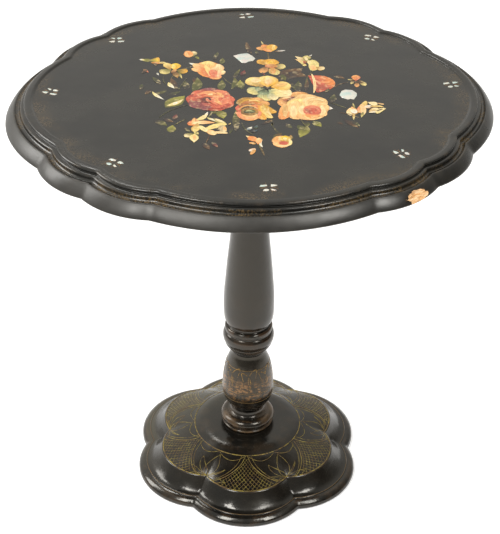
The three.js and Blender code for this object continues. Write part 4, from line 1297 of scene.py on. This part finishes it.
@dataclass
class Bouquet:
    """The painted bouquet in the middle of the panel, stroke over stroke, with two plaques of pearl."""

    panel: float  # height of the panel, in millimetres
    step: float = 0.02  # thickness of a coat of paint
    leaf_level: float = 0.03
    flower_level: float = 0.16
    columns: int = 6
    spans: int = 8

    def build(self) -> None:
        """Paints the leaves first, then each flower, and sets the plaques."""
        for seed, (name, strokes) in enumerate(LEAVES.items()):
            self._flower(name, strokes, self.leaf_level, seed)
        for seed, (name, strokes) in enumerate(FLOWERS.items()):
            self._flower(name, strokes, self.flower_level, 100 + seed)
        for name, outline in PLAQUES.items():
            self._plaque(name, outline)

    def _flower(self, name: str, strokes: list[tuple], level: float, seed: int) -> None:
        """Paints one flower or one spray of leaves.

        Args:
            name: the piece's name.
            strokes: its strokes, the lowest first.
            level: height of its first coat over the panel, in millimetres.
            seed: starts its raggedness.
        """
        deselect()
        chance = random.Random(seed)
        for k, numbers in enumerate(strokes):
            if k:
                bpy.ops.mesh.select_all(action="DESELECT")
            bpy.ops.mesh.primitive_grid_add(
                x_subdivisions=self.columns, y_subdivisions=self.spans, size=1.0, enter_editmode=k == 0
            )
            obj = bpy.context.object
            mesh = bmesh.from_edit_mesh(obj.data)
            if k == 0:
                mesh.verts.layers.float_color.new("paint")
            self._shape(mesh, Stroke(*numbers), self.panel + level + k * self.step, chance.uniform(0, 90))
            bmesh.update_edit_mesh(obj.data)
        bpy.ops.mesh.select_all(action="SELECT")
        bpy.ops.mesh.remove_doubles(threshold=2e-6)
        bpy.ops.object.mode_set(mode="OBJECT")
        obj.name = obj.data.name = name
        bpy.ops.object.shade_smooth()
        settle(obj, Body.TOP, Slot.LACQUER, OilPaint().material())

    @staticmethod
    def _shape(mesh: bmesh.types.BMesh, stroke: Stroke, height: float, chance: float) -> None:
        """Bends the newest grid into a stroke and colours it.

        Args:
            mesh: the mesh in edit mode, with the new grid selected.
            stroke: the stroke to make.
            height: its height, in millimetres.
            chance: where its raggedness is read.
        """
        paint = mesh.verts.layers.float_color["paint"]
        root, tip = Vector((stroke.x0, stroke.y0)), Vector((stroke.x1, stroke.y1))
        run = tip - root
        side = Vector((run.y, -run.x)).normalized()
        dark, light = stroke.dark.linear(), stroke.light.linear()
        for vert in mesh.verts:
            if not vert.select:
                continue
            u, v = vert.co.x * 2, 0.5 - 0.5 * math.cos(math.pi * (vert.co.y + 0.5))
            ragged = 1 + 0.09 * noise.noise(Vector((chance, v * 5, u)))
            half = stroke.form.width(v) * stroke.width / 2 * ragged
            bow = stroke.bend * run.length * 4 * v * (1 - v)
            spot = root + run * v + side * (u * half + bow)
            vert.co = Vector((spot.x, spot.y, height)) * MM
            glow = v * v * (3 - 2 * v) if stroke.form is not Form.STROKE else 0.35 + 0.5 * v
            glow = min(max(glow - 0.3 * max(abs(u) - 0.6, 0.0) / 0.4 - 0.14 * u, 0.0), 1.0)
            vert[paint] = (*dark.lerp(light, glow), 1.0)

    def _plaque(self, name: str, outline: list[Point]) -> None:
        """Sets a plaque of pearl: its outline is filled, thickened and softened at the edge.

        Args:
            name: the piece's name.
            outline: its corners, in millimetres.
        """
        settle(pearl_slip(name, outline, self.panel), Body.TOP, Slot.LACQUER, Pearl().material())


def pearl_slip(name: str, outline: list[Point], panel: float) -> Object:
    """A thin slip of pearl with a softened edge.

    Args:
        name: the piece's name.
        outline: its corners, in millimetres.
        panel: the height that it lies at.

    Returns:
        The slip.
    """
    rise, ease = 0.24, 0.16
    deselect()
    bpy.ops.mesh.primitive_circle_add(vertices=len(outline), radius=MM, fill_type="NGON", enter_editmode=True)
    obj = bpy.context.object
    mesh = bmesh.from_edit_mesh(obj.data)
    for vert, (x, y) in zip(mesh.verts, outline):
        vert.co = Vector((x, y, panel - 0.1)) * MM
    bmesh.update_edit_mesh(obj.data)
    bpy.ops.mesh.extrude_region_move(TRANSFORM_OT_translate={"value": (0, 0, (rise + 0.1) * MM)})
    bpy.ops.mesh.bevel(offset=ease * MM, segments=2, affect="EDGES")
    bpy.ops.mesh.select_all(action="SELECT")
    bpy.ops.mesh.normals_make_consistent(inside=False)
    bpy.ops.object.mode_set(mode="OBJECT")
    obj.name = obj.data.name = name
    bpy.ops.object.shade_smooth_by_angle(angle=SMOOTH_ANGLE)
    return obj


@dataclass
class PearlMotifs:
    """The eight small pearl flowers round the panel, each four slips on worn gilt leaves."""

    panel: float
    places: tuple[Point, ...] = (
        (6, -268), (-203, -193), (-300, 23), (-204, 197), (8, 281), (204, 190), (306, 22), (199, -183),
    )
    turns: tuple[float, ...] = (0.0, -38.0, 152.0, 178.0, 185.0, -28.0, 8.0, 118.0)
    slips: tuple[tuple[Point, ...], ...] = (
        ((-12.5, 3.2), (-11.0, 7.4), (-2.4, 8.2), (-1.8, 4.6), (-6.5, 3.1)),
        ((2.8, 2.6), (3.2, 8.6), (7.4, 8.4), (12.4, 6.2), (7.6, 3.4)),
        ((-8.8, -6.4), (-5.8, -3.4), (-2.4, -3.2), (0.2, -5.4), (-1.6, -8.4), (-5.2, -9.0)),
        ((2.4, -3.6), (4.6, -3.2), (9.8, -6.4), (6.4, -8.0), (3.2, -6.6)),
    )

    def build(self) -> None:
        """Models one motif and copies it round the panel, each copy turned its own way."""
        first = self._motif()
        leaves = self._leaves()
        for k, (x, y) in enumerate(self.places):
            turn = Matrix.Translation(Vector((x, y, 0)) * MM)
            turn @= Matrix.Rotation(math.radians(self.turns[k]), 4, "Z")
            motif = copied(first, f"pearl_motif_{k + 1}", turn)
            settle(motif, Body.TOP, Slot.LACQUER)
            spray = copied(leaves, f"motif_leaves_{k + 1}", turn)
            settle(spray, Body.TOP, Slot.LACQUER)
        for obj in (first, leaves):
            bpy.data.objects.remove(obj)

    def _motif(self) -> Object:
        """The four slips of a motif at the origin, joined."""
        slips = [pearl_slip(f"slip_{k}", list(slip), self.panel) for k, slip in enumerate(self.slips)]
        deselect()
        for slip in slips:
            slip.select_set(True)
            slip.data.materials.append(Pearl().material())
        bpy.context.view_layer.objects.active = slips[0]
        bpy.ops.object.join()
        return bpy.context.object

    def _leaves(self) -> Object:
        """Small gilt strokes between the slips."""
        lines = []
        for k in range(12):
            angle = math.tau * (k + 0.5) / 12
            out = Vector((math.cos(angle), math.sin(angle), 0))
            side = Vector((-out.y, out.x, 0)) * (1.6 if k % 2 else -1.6)
            points = (out * (3.0 + 10.5 * t) + side * math.sin(math.pi * t) for t in (0, 0.25, 0.5, 0.75, 1))
            lines.append([(p + Vector((0, 0, self.panel - 0.12))) * MM for p in points])
        obj = gilt_lines("motif_leaves", lines, [0.7 * MM] * len(lines))
        obj.data.materials.append(Gilt("dim_gilding", colour(118, 84, 50), 0.5).material())
        return obj


# -------------------------------------------------------------------------------------------- stand
@dataclass
class Base:
    """The domed base: six lobes, a rolled rim, a cove and gilt ornament over the dome."""

    turn: float = -4.3
    lobes: int = 6
    steps: int = 40
    outer: tuple[tuple[tuple[float, float, float], ...], ...] = (
        (
            (195, 174.5, 0), (196.9, 176.4, 1.8), (197.5, 177, 4), (197, 176.4, 7), (195.2, 174.7, 9.8),
            (190, 169.5, 13.4), (184.6, 163.8, 14.6),
        ),
        ((184.6, 163.8, 14.6), (183.5, 162.6, 15.6), (182.4, 161.4, 15.6)),
        ((182.4, 161.4, 15.6), (175, 153.2, 19), (166, 144.6, 27.6), (159.4, 138.8, 35.6), (156.6, 136.6, 39.4)),
        ((156.6, 136.6, 39.4), (155.4, 135.4, 40.3), (154, 134.4, 40.5)),
        (
            (154, 134.4, 40.5), (136, 123, 47.6), (114, 108, 55), (98, 96.5, 60), (89, 89, 64),
            (80, 80, 67.6), (68, 68, 69.6), (46, 46, 70),
        ),
    )
    inner: tuple[tuple[float, float, float], ...] = (
        (22, 22, 70), (22, 22, 64), (54, 54, 64), (84, 84, 58.6), (118, 110, 47), (150.4, 131.4, 34),
        (160, 139, 22.5), (170.5, 148.6, 13.6), (184, 163, 9), (187, 166, 0), (195, 174.5, 0),
    )
    inner_circle: float = 91.0
    scallop: float = 154.6
    bold_line: float = 1.7  # widths of the gilt lines
    rim_line: float = 0.9
    fan_line: float = 1.35
    fan_shadow_line: float = 0.85
    swag_line: float = 0.95
    lattice_line: float = 0.62
    leaf_line: float = 0.85
    fan_share: float = 0.8  # the share of a lobe that its fan takes at the scallop
    lattice_count: int = 12
    lattice_pitch: float = 0.05  # radians between two lines
    lattice_slope: float = 0.4
    palmette: tuple[Point, ...] = (  # each leaf's lean away from the cusp's line, and its size
        (-1.3, 0.52), (-0.72, 0.66), (-0.1, 0.9), (0.5, 0.74), (1.05, 0.56), (1.45, 0.34),
    )

    def reach(self, angle: float, mid: float, cusp: float) -> float:
        """Distance from the axis to a row in one direction.

        Args:
            angle: the direction, in radians.
            mid: the row's radius at the middle of a lobe.
            cusp: its radius at a cusp.

        Returns:
            The distance, in millimetres.
        """
        half = math.pi / self.lobes
        local = (angle - math.radians(self.turn)) % (2 * half) - half
        rise = mid - cusp * math.cos(half)
        radius = ((cusp * math.sin(half)) ** 2 + rise**2) / (2 * rise)
        offset = mid - radius
        return offset * math.cos(local) + math.sqrt(radius**2 - (offset * math.sin(local)) ** 2)

    def row(self, mid: float, cusp: float, z: float) -> Row:
        """The points of one row, in metres."""
        found = []
        for k in range(self.lobes * self.steps):
            angle = math.radians(self.turn) + math.tau * k / (self.lobes * self.steps)
            r = self.reach(angle, mid, cusp)
            found.append(Vector((r * math.cos(angle), r * math.sin(angle), z)) * MM)
        return found

    def on_dome(self, angle: float, mid: float, lift: float = 0.0) -> Vector:
        """A point on the dome.

        Args:
            angle: its direction, in radians.
            mid: the radius that its row has at the middle of a lobe, in millimetres.
            lift: how far above the surface.

        Returns:
            The point, in metres.
        """
        rows = self.dome
        mid = min(max(mid, rows[-1][0]), rows[0][0])
        k = next(i for i in range(len(rows) - 1) if rows[i + 1][0] <= mid)
        share = (rows[k][0] - mid) / (rows[k][0] - rows[k + 1][0])
        cusp, z = (a + (b - a) * share for a, b in zip(rows[k][1:], rows[k + 1][1:]))
        r = self.reach(angle, mid, cusp)
        return Vector((r * math.cos(angle), r * math.sin(angle), z + lift)) * MM

    def build(self) -> None:
        """Builds the shell and its gilding."""
        self.dome = curve_through(list(self.outer[-1]), 5)
        outline = outline_of([list(s) for s in self.outer], 4)
        rub = rub_of([(mid, z) for mid, _, z in outline])
        rows = [*outline, *self.inner]
        shell = Skin(
            "lobed_base",
            [self.row(*r) for r in rows],
            [r[0] for r in rows],
            [*rub, *[0.0] * len(self.inner)],
            hollow=True,
        ).build()
        settle(shell, Body.STAND, Slot.LACQUER, Lacquer().material())
        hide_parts("base_shell")
        self._rings()
        self._ornament()

    def _rings(self) -> None:
        """The gilt lines that run all the way round."""
        count = self.lobes * self.steps
        angles = [math.radians(self.turn) + math.tau * k / count for k in range(count)]
        bold, thin = Gilt().material(), Gilt("brown_gilding", colour(98, 80, 56), 0.5).material()
        sunk = (("gilt_scallop", self.scallop, -0.1), ("gilt_circle", self.inner_circle, -0.2))
        for name, mid, lift in sunk:
            path = [self.on_dome(angle, mid, lift) for angle in angles]
            line = gilt_lines(name, [path], [self.bold_line * MM], True)
            settle(line, Body.STAND, Slot.LACQUER, bold)
        rim = gilt_lines("gilt_rim", [self.row(183.5, 162.6, 15.5)], [self.rim_line * MM], True)
        settle(rim, Body.STAND, Slot.LACQUER, thin)

    def _ornament(self) -> None:
        """Draws one lobe's fan, lattice, swags and palmette, and copies them round."""
        first = self._lobe_lines()
        fine = Gilt("fine_gilding", colour(146, 130, 60), 0.47).material()
        for k in range(self.lobes):
            turned = Matrix.Rotation(math.tau * k / self.lobes, 4, "Z")
            piece = copied(first, f"gilt_lobe_{k + 1}", turned)
            settle(piece, Body.STAND, Slot.LACQUER, fine)
        bpy.data.objects.remove(first)

    def _lobe_lines(self) -> Object:
        """The gilt lines of the first lobe.

        Returns:
            One piece that holds them all.
        """
        half = math.pi / self.lobes
        middle = math.radians(self.turn) + half
        low, high = self.inner_circle, self.scallop
        stations = (0, 0.25, 0.5, 0.75, 1)
        lines, widths = [], []

        def draw(points: list[Point], width: float, steps: int = 6) -> None:
            """Adds a line through (angle from the lobe's middle, share of the way out) points."""
            fine = curve_through(points, steps)
            lines.append([self.on_dome(middle + a, low + (high - low) * s, -0.04) for a, s in fine])
            widths.append(width * MM)

        for side in (-1, 1):
            draw([(side * self._fan_edge(s), s) for s in stations], self.fan_line)
            shadow = [(side * (self._fan_edge(s) + 0.05 * (1 - s) + 0.02), s) for s in stations]
            draw(shadow, self.fan_shadow_line)
        self._lattice(draw)
        swag = [(0.08 * half + 0.9 * half * t, 0.03 + 0.15 * math.sin(math.pi * t)) for t in stations]
        for side in (-1, 1):
            draw([(side * a, s) for a, s in swag], self.swag_line)
        for k, (lean, size) in enumerate(self.palmette):
            self._leaf(draw, lean, size, 0.62 + 0.06 * (k % 2))
        return gilt_lines("gilt_lobe", lines, widths)

    def _fan_edge(self, share: float) -> float:
        """The fan's half angle, with the share going from 0 at the circle to 1 at the scallop."""
        return self.fan_share * (math.pi / self.lobes) * (0.04 + 0.96 * share**1.3)

    def _lattice(self, draw: Callable[..., None]) -> None:
        """Crosses two sets of slanting lines inside the fan.

        Args:
            draw: adds a line.
        """
        checks, inset = 24, 0.97
        for side in (-1, 1):
            for k in range(-self.lattice_count, self.lattice_count + 1):
                points = []
                for i in range(checks + 1):
                    s = 0.08 + 0.9 * i / checks
                    a = side * (self.lattice_pitch * k + self.lattice_slope * (s - 0.5))
                    if abs(a) < self._fan_edge(s) * inset:
                        points.append((a, s))
                if len(points) > 3:
                    draw(points[:: max(1, len(points) // 4)] + points[-1:], self.lattice_line, 2)

    def _leaf(self, draw: Callable[..., None], lean: float, size: float, fat: float) -> None:
        """Outlines one leaf of the palmette that springs from the cusp.

        Args:
            draw: adds a line.
            lean: the leaf's lean away from the cusp's own line, in radians.
            size: its length, as a share of the dome's width.
            fat: its width as a share of its length.
        """
        half = math.pi / self.lobes
        aspect = 0.52
        tip = (half - size * math.sin(lean) * aspect, 1 - size * math.cos(lean))
        for side in (-1, 1):
            points = []
            for t in (0, 0.2, 0.45, 0.7, 0.88, 1):
                bulge = side * fat * size * 0.3 * math.sin(math.pi * t**0.9)
                a = half + (tip[0] - half) * t + bulge * math.cos(lean) * aspect
                s = 1 + (tip[1] - 1) * t + bulge * math.sin(lean)
                points.append((a, min(max(s, 0.05), 0.985)))
            draw(points, self.leaf_line, 3)


@dataclass(frozen=True)
class Turning:
    """One turned piece of the column: its outline as strokes of (radius, height over its seat)."""

    name: str
    node: str
    seat: str  # the node whose top it stands on
    strokes: tuple[tuple[Point, ...], ...]
    finish: Finish = Lacquer("turned_japan", 0.13, 0.25, colour(112, 78, 48), (1.0, 0.93, 0.82, 1.0))
    fuller: float = 1.03

    def build(self) -> None:
        """Turns the piece on its seat."""
        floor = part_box(self.seat)[1].z / MM
        outline = outline_of([list(s) for s in self.strokes], 4)
        angles = [math.tau * k / TURNED_SIDES for k in range(TURNED_SIDES)]
        rows = []
        for r, h in outline:
            wide = r * self.fuller
            rows.append([Vector((wide * math.cos(a), wide * math.sin(a), floor + h)) * MM for a in angles])
        piece = Skin(self.name, rows, [h for _, h in outline], rub_of(outline)).build()
        settle(piece, Body.STAND, Slot.LACQUER, self.finish.material())
        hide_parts(self.node)


COLUMN = (
    Turning(
        "turned_foot", "column_foot", "base_shell",
        (
            ((36.0, 0.1), (40.4, 0.5)),
            ((40.4, 0.5), (41.8, 1.4), (42.2, 2.8), (41.8, 4.2), (40.4, 5.2), (39.5, 5.6)),
            ((39.5, 5.6), (39.4, 6.1), (39.7, 6.7)),
            ((39.7, 6.7), (42.4, 9.2), (43.8, 12.6), (43.7, 16.0), (41.6, 19.6), (38.0, 22.2), (34.6, 22.9)),
            ((34.6, 22.9), (32.6, 23.0), (31.4, 23.6)),
            ((31.4, 23.6), (28.8, 25.2), (26.8, 28.0), (25.9, 31.4), (25.7, 34.0)),
        ),
        # The foot's lighter brown ground is partly its patina and partly painted light that stands in for its
        # larger highlights.
        Lacquer("worn_japan_with_painted_light", 0.2, 0.36, colour(140, 106, 68), (1.0, 0.93, 0.82, 1.0), colour(76, 60, 42)),
    ),
    Turning(
        "turned_baluster", "column_baluster", "column_foot",
        (
            (
                (25.9, 0.0), (26.6, 1.4), (30.2, 6.4), (37.5, 18.5), (40.8, 29.0), (42.0, 41.0),
                (41.7, 55.0), (39.8, 72.0), (36.6, 90.0), (31.8, 105.0), (28.4, 114.0), (27.2, 120.0),
            ),
        ),
        RubbedLacquer(),
    ),
    Turning(
        "turned_ring", "column_ring", "column_baluster",
        (
            ((27.2, 0.0), (28.6, 1.2), (31.4, 5.4), (36.4, 12.2), (38.2, 16.4)),
            ((38.2, 16.4), (38.0, 17.6), (38.4, 18.8)),
            ((38.4, 18.8), (39.8, 21.4), (41.0, 26.0), (41.3, 30.6), (40.6, 35.0), (38.6, 38.8)),
            ((38.6, 38.8), (37.4, 40.2), (37.2, 42.0)),
            ((37.2, 42.0), (38.2, 43.4), (38.6, 46.4), (38.0, 49.6), (36.2, 51.6)),
            ((36.2, 51.6), (34.2, 52.2), (33.0, 54.0), (32.8, 57.0)),
        ),
    ),
    Turning(
        "turned_shaft", "column_shaft", "column_ring",
        (
            (
                (32.8, 0.0), (34.6, 0.6), (37.4, 4.0), (39.4, 11.0), (40.5, 25.0), (40.0, 57.0),
                (37.8, 87.0), (35.4, 117.0), (30.3, 172.0), (27.2, 224.0), (25.4, 279.0), (25.2, 329.0),
                (26.8, 349.0), (29.0, 361.0),
            ),
        ),
    ),
)


@dataclass
class Column:
    """The turned column: foot, baluster, ring, shaft and the collar under the tilting block."""

    bands: tuple[Point, ...] = ((96.0, 1.1), (52.0, 0.7), (33.0, 0.7))  # height over the foot, width
    scrolls: int = 8
    scroll_line: float = 1.25
    scroll_height: float = 63.0
    scroll_rise: float = 32.0
    scroll_points: int = 12

    def build(self) -> None:
        """Turns every piece and gilds the baluster."""
        for turning in COLUMN:
            turning.build()
        self._collar()
        self._gilding()

    def _collar(self) -> None:
        """Turns the collar, whose top carries the block."""
        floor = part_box("column_collar")[0].z / MM
        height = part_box("column_collar")[1].z / MM - floor
        strokes = (
            ((28.0, 0.0), (36.0, 0.0)),
            ((36.0, 0.0), (42.4, 1.0), (45.8, 3.8), (46.4, 6.4), (45.6, 9.6), (43.4, 12.2)),
            ((43.4, 12.2), (44.2, 14.0), (48.0, 16.0), (52.0, 17.3)),
            ((52.0, 17.3), (53.6, 18.4), (54.0, height)),
        )
        Turning("turned_collar", "column_collar", "column_shaft", self._below(strokes, floor)).build()

    @staticmethod
    def _below(strokes: tuple[tuple[Point, ...], ...], floor: float) -> tuple[tuple[Point, ...], ...]:
        """Restates heights over the collar's own floor as heights over the top of the shaft's tenon.

        Args:
            strokes: the outline, over the collar's floor.
            floor: the collar's floor, in millimetres.

        Returns:
            The outline over its seat.
        """
        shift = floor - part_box("column_shaft")[1].z / MM
        return tuple(tuple((r, h + shift) for r, h in stroke) for stroke in strokes)

    def _gilding(self) -> None:
        """The worn gilt band and scrolls on the baluster."""
        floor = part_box("column_foot")[1].z / MM
        outline = outline_of([list(s) for s in COLUMN[1].strokes], 4)

        def spot(angle: float, height: float) -> Vector:
            """A point just under the baluster's surface."""
            k = next(i for i in range(len(outline) - 1) if outline[i + 1][1] >= height)
            (r0, h0), (r1, h1) = outline[k], outline[k + 1]
            r = (r0 + (r1 - r0) * (height - h0) / (h1 - h0)) * COLUMN[1].fuller - 0.12
            return Vector((r * math.cos(angle), r * math.sin(angle), floor + height)) * MM

        angles = [math.tau * k / TURNED_SIDES for k in range(TURNED_SIDES)]
        rings = [[spot(angle, h) for angle in angles] for h, _ in self.bands]
        piece = gilt_lines("gilt_bands", rings, [w * MM for _, w in self.bands], True)
        settle(piece, Body.STAND, Slot.LACQUER, Gilt("rubbed_gilding", colour(122, 96, 52), 0.53).material())
        lines = []
        for k in range(self.scrolls):
            start = math.tau * k / self.scrolls
            for side in (-1, 1):
                curl = []
                for t in (i / (self.scroll_points - 1) for i in range(self.scroll_points)):
                    angle = start + side * (0.34 * t - 0.12 * math.sin(7 * t))
                    height = self.scroll_height + self.scroll_rise * math.sin(2.6 * t) + 3 * side
                    curl.append(spot(angle, height))
                lines.append(curl)
        piece = gilt_lines("gilt_scrolls", lines, [self.scroll_line * MM] * len(lines))
        settle(piece, Body.STAND, Slot.LACQUER, Gilt("scroll_gilding", colour(176, 134, 56), 0.42).material())


@dataclass
class Hardware:
    """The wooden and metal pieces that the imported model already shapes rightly: only their finish is new."""

    def dress(self) -> None:
        """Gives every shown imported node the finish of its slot."""
        slots = {part["node"]: part["material_slot"] for part in frame["record"]["subparts"]}
        for node, obj in frame["nodes"].items():
            if obj.hide_render:
                continue
            finish = CAD_FINISHES.get(slots[node])
            if finish:
                obj.data.materials.clear()
                obj.data.materials.append(finish.material())
                LOG.info("%s: %s", node, finish.name)


# ------------------------------------------------------------------------------------------- studio
@dataclass(frozen=True)
class Softbox:
    """A soft studio light: where it stands, seen from the table, and how large and strong it is."""

    name: str
    azimuth: float  # degrees to the right of the front, as the sitter sees it
    elevation: float
    distance: float
    size: Point
    power: float
    aim: float = 0.45  # height that it points at

    def build(self) -> None:
        """Stands the light and turns it to the table."""
        data = bpy.data.lights.new(self.name, "AREA")
        data.shape = "RECTANGLE"
        data.size, data.size_y = self.size
        data.energy = self.power
        light = bpy.data.objects.new(self.name, data)
        bpy.context.scene.collection.objects.link(light)
        a, e = math.radians(self.azimuth), math.radians(self.elevation)
        out = Vector((math.sin(a) * math.cos(e), -math.cos(a) * math.cos(e), math.sin(e)))
        light.location = Vector((0, 0, self.aim)) + out * self.distance
        light.rotation_euler = out.to_track_quat("Z", "Y").to_euler()
        light.visible_camera = False


@dataclass
class Studio:
    """The pale floor, the soft surroundings, the softboxes and the camera."""

    eye: tuple[float, float, float] = (-0.1379, -1.9690, 1.7297)
    turn: float = -4.03  # degrees about Z
    pitch: float = 55.76
    roll: float = 0.83
    lens: float = 99.68
    floor_size: float = 24.0
    softboxes: tuple[Softbox, ...] = (
        Softbox("window_left", -106.0, 30.0, 2.8, (0.8, 1.5), 40.0),
        Softbox("window_back", -158.0, 54.0, 3.4, (0.4, 0.5), 9.0),
        Softbox("front_left", -43.0, 50.0, 3.2, (0.7, 1.4), 58.0),
        Softbox("front_right", 40.0, 51.0, 3.2, (0.7, 1.4), 54.0),
    )

    def build(self) -> None:
        """Sets the whole studio."""
        self._camera()
        self._floor()
        self._surroundings()
        for softbox in self.softboxes:
            softbox.build()
        bpy.context.scene.view_settings.view_transform = "Standard"

    def _camera(self) -> None:
        """Stands the camera in front of the table, looking down at it."""
        data = bpy.data.cameras.new("camera")
        data.lens = self.lens
        camera = bpy.data.objects.new("camera", data)
        bpy.context.scene.collection.objects.link(camera)
        turn = Matrix.Rotation(math.radians(self.turn), 4, "Z")
        turn @= Matrix.Rotation(math.radians(self.pitch), 4, "X")
        turn @= Matrix.Rotation(math.radians(self.roll), 4, "Z")
        camera.matrix_world = Matrix.Translation(self.eye) @ turn
        bpy.context.scene.camera = camera

    def _floor(self) -> None:
        """Lays the floor just under the base."""
        deselect()
        bpy.ops.mesh.primitive_plane_add(size=self.floor_size, location=(0, 0, -0.0002))
        floor = bpy.context.object
        floor.name = "studio_floor"
        floor.data.materials.append(StudioFloor().material())

    def _surroundings(self) -> None:
        """Pale light from all round, brightest behind the table and dim on its right."""
        world = bpy.data.worlds.new("studio")
        world.use_nodes = True
        bpy.context.scene.world = world
        art = Palette(world.node_tree)
        out = art.add("SeparateXYZ", {0: art.add("TexCoord").outputs["Generated"]}).outputs
        light = art.span(out["Y"], -0.25, 0.7, 0.32, 0.87)
        light = art.plus(light, art.span(out["X"], 0.1, -0.9, 0.0, 0.25))
        light = art.minus(light, art.span(out["X"], 0.3, 0.95, 0.0, 0.3))
        light = art.plus(light, art.span(out["Z"], 0.45, 1.0, 0.0, 0.25))
        background = world.node_tree.nodes["Background"]
        background.inputs["Color"].default_value = (1.0, 0.975, 0.92, 1.0)
        art.tree.links.new(light, background.inputs["Strength"])


def main() -> None:
    """Builds the table piece by piece."""
    logging.basicConfig(level=logging.INFO, format="%(name)s: %(message)s")
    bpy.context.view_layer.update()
    Studio().build()
    for effect in (build_ageing, build_edge_rub, build_wood_figure):
        effect()
    top = TableTop()
    top.build()
    Bouquet(top.panel_height()).build()
    PearlMotifs(top.panel_height()).build()
    Base().build()
    Column().build()
    Hardware().dress()


if __name__ == "__main__":
    main()
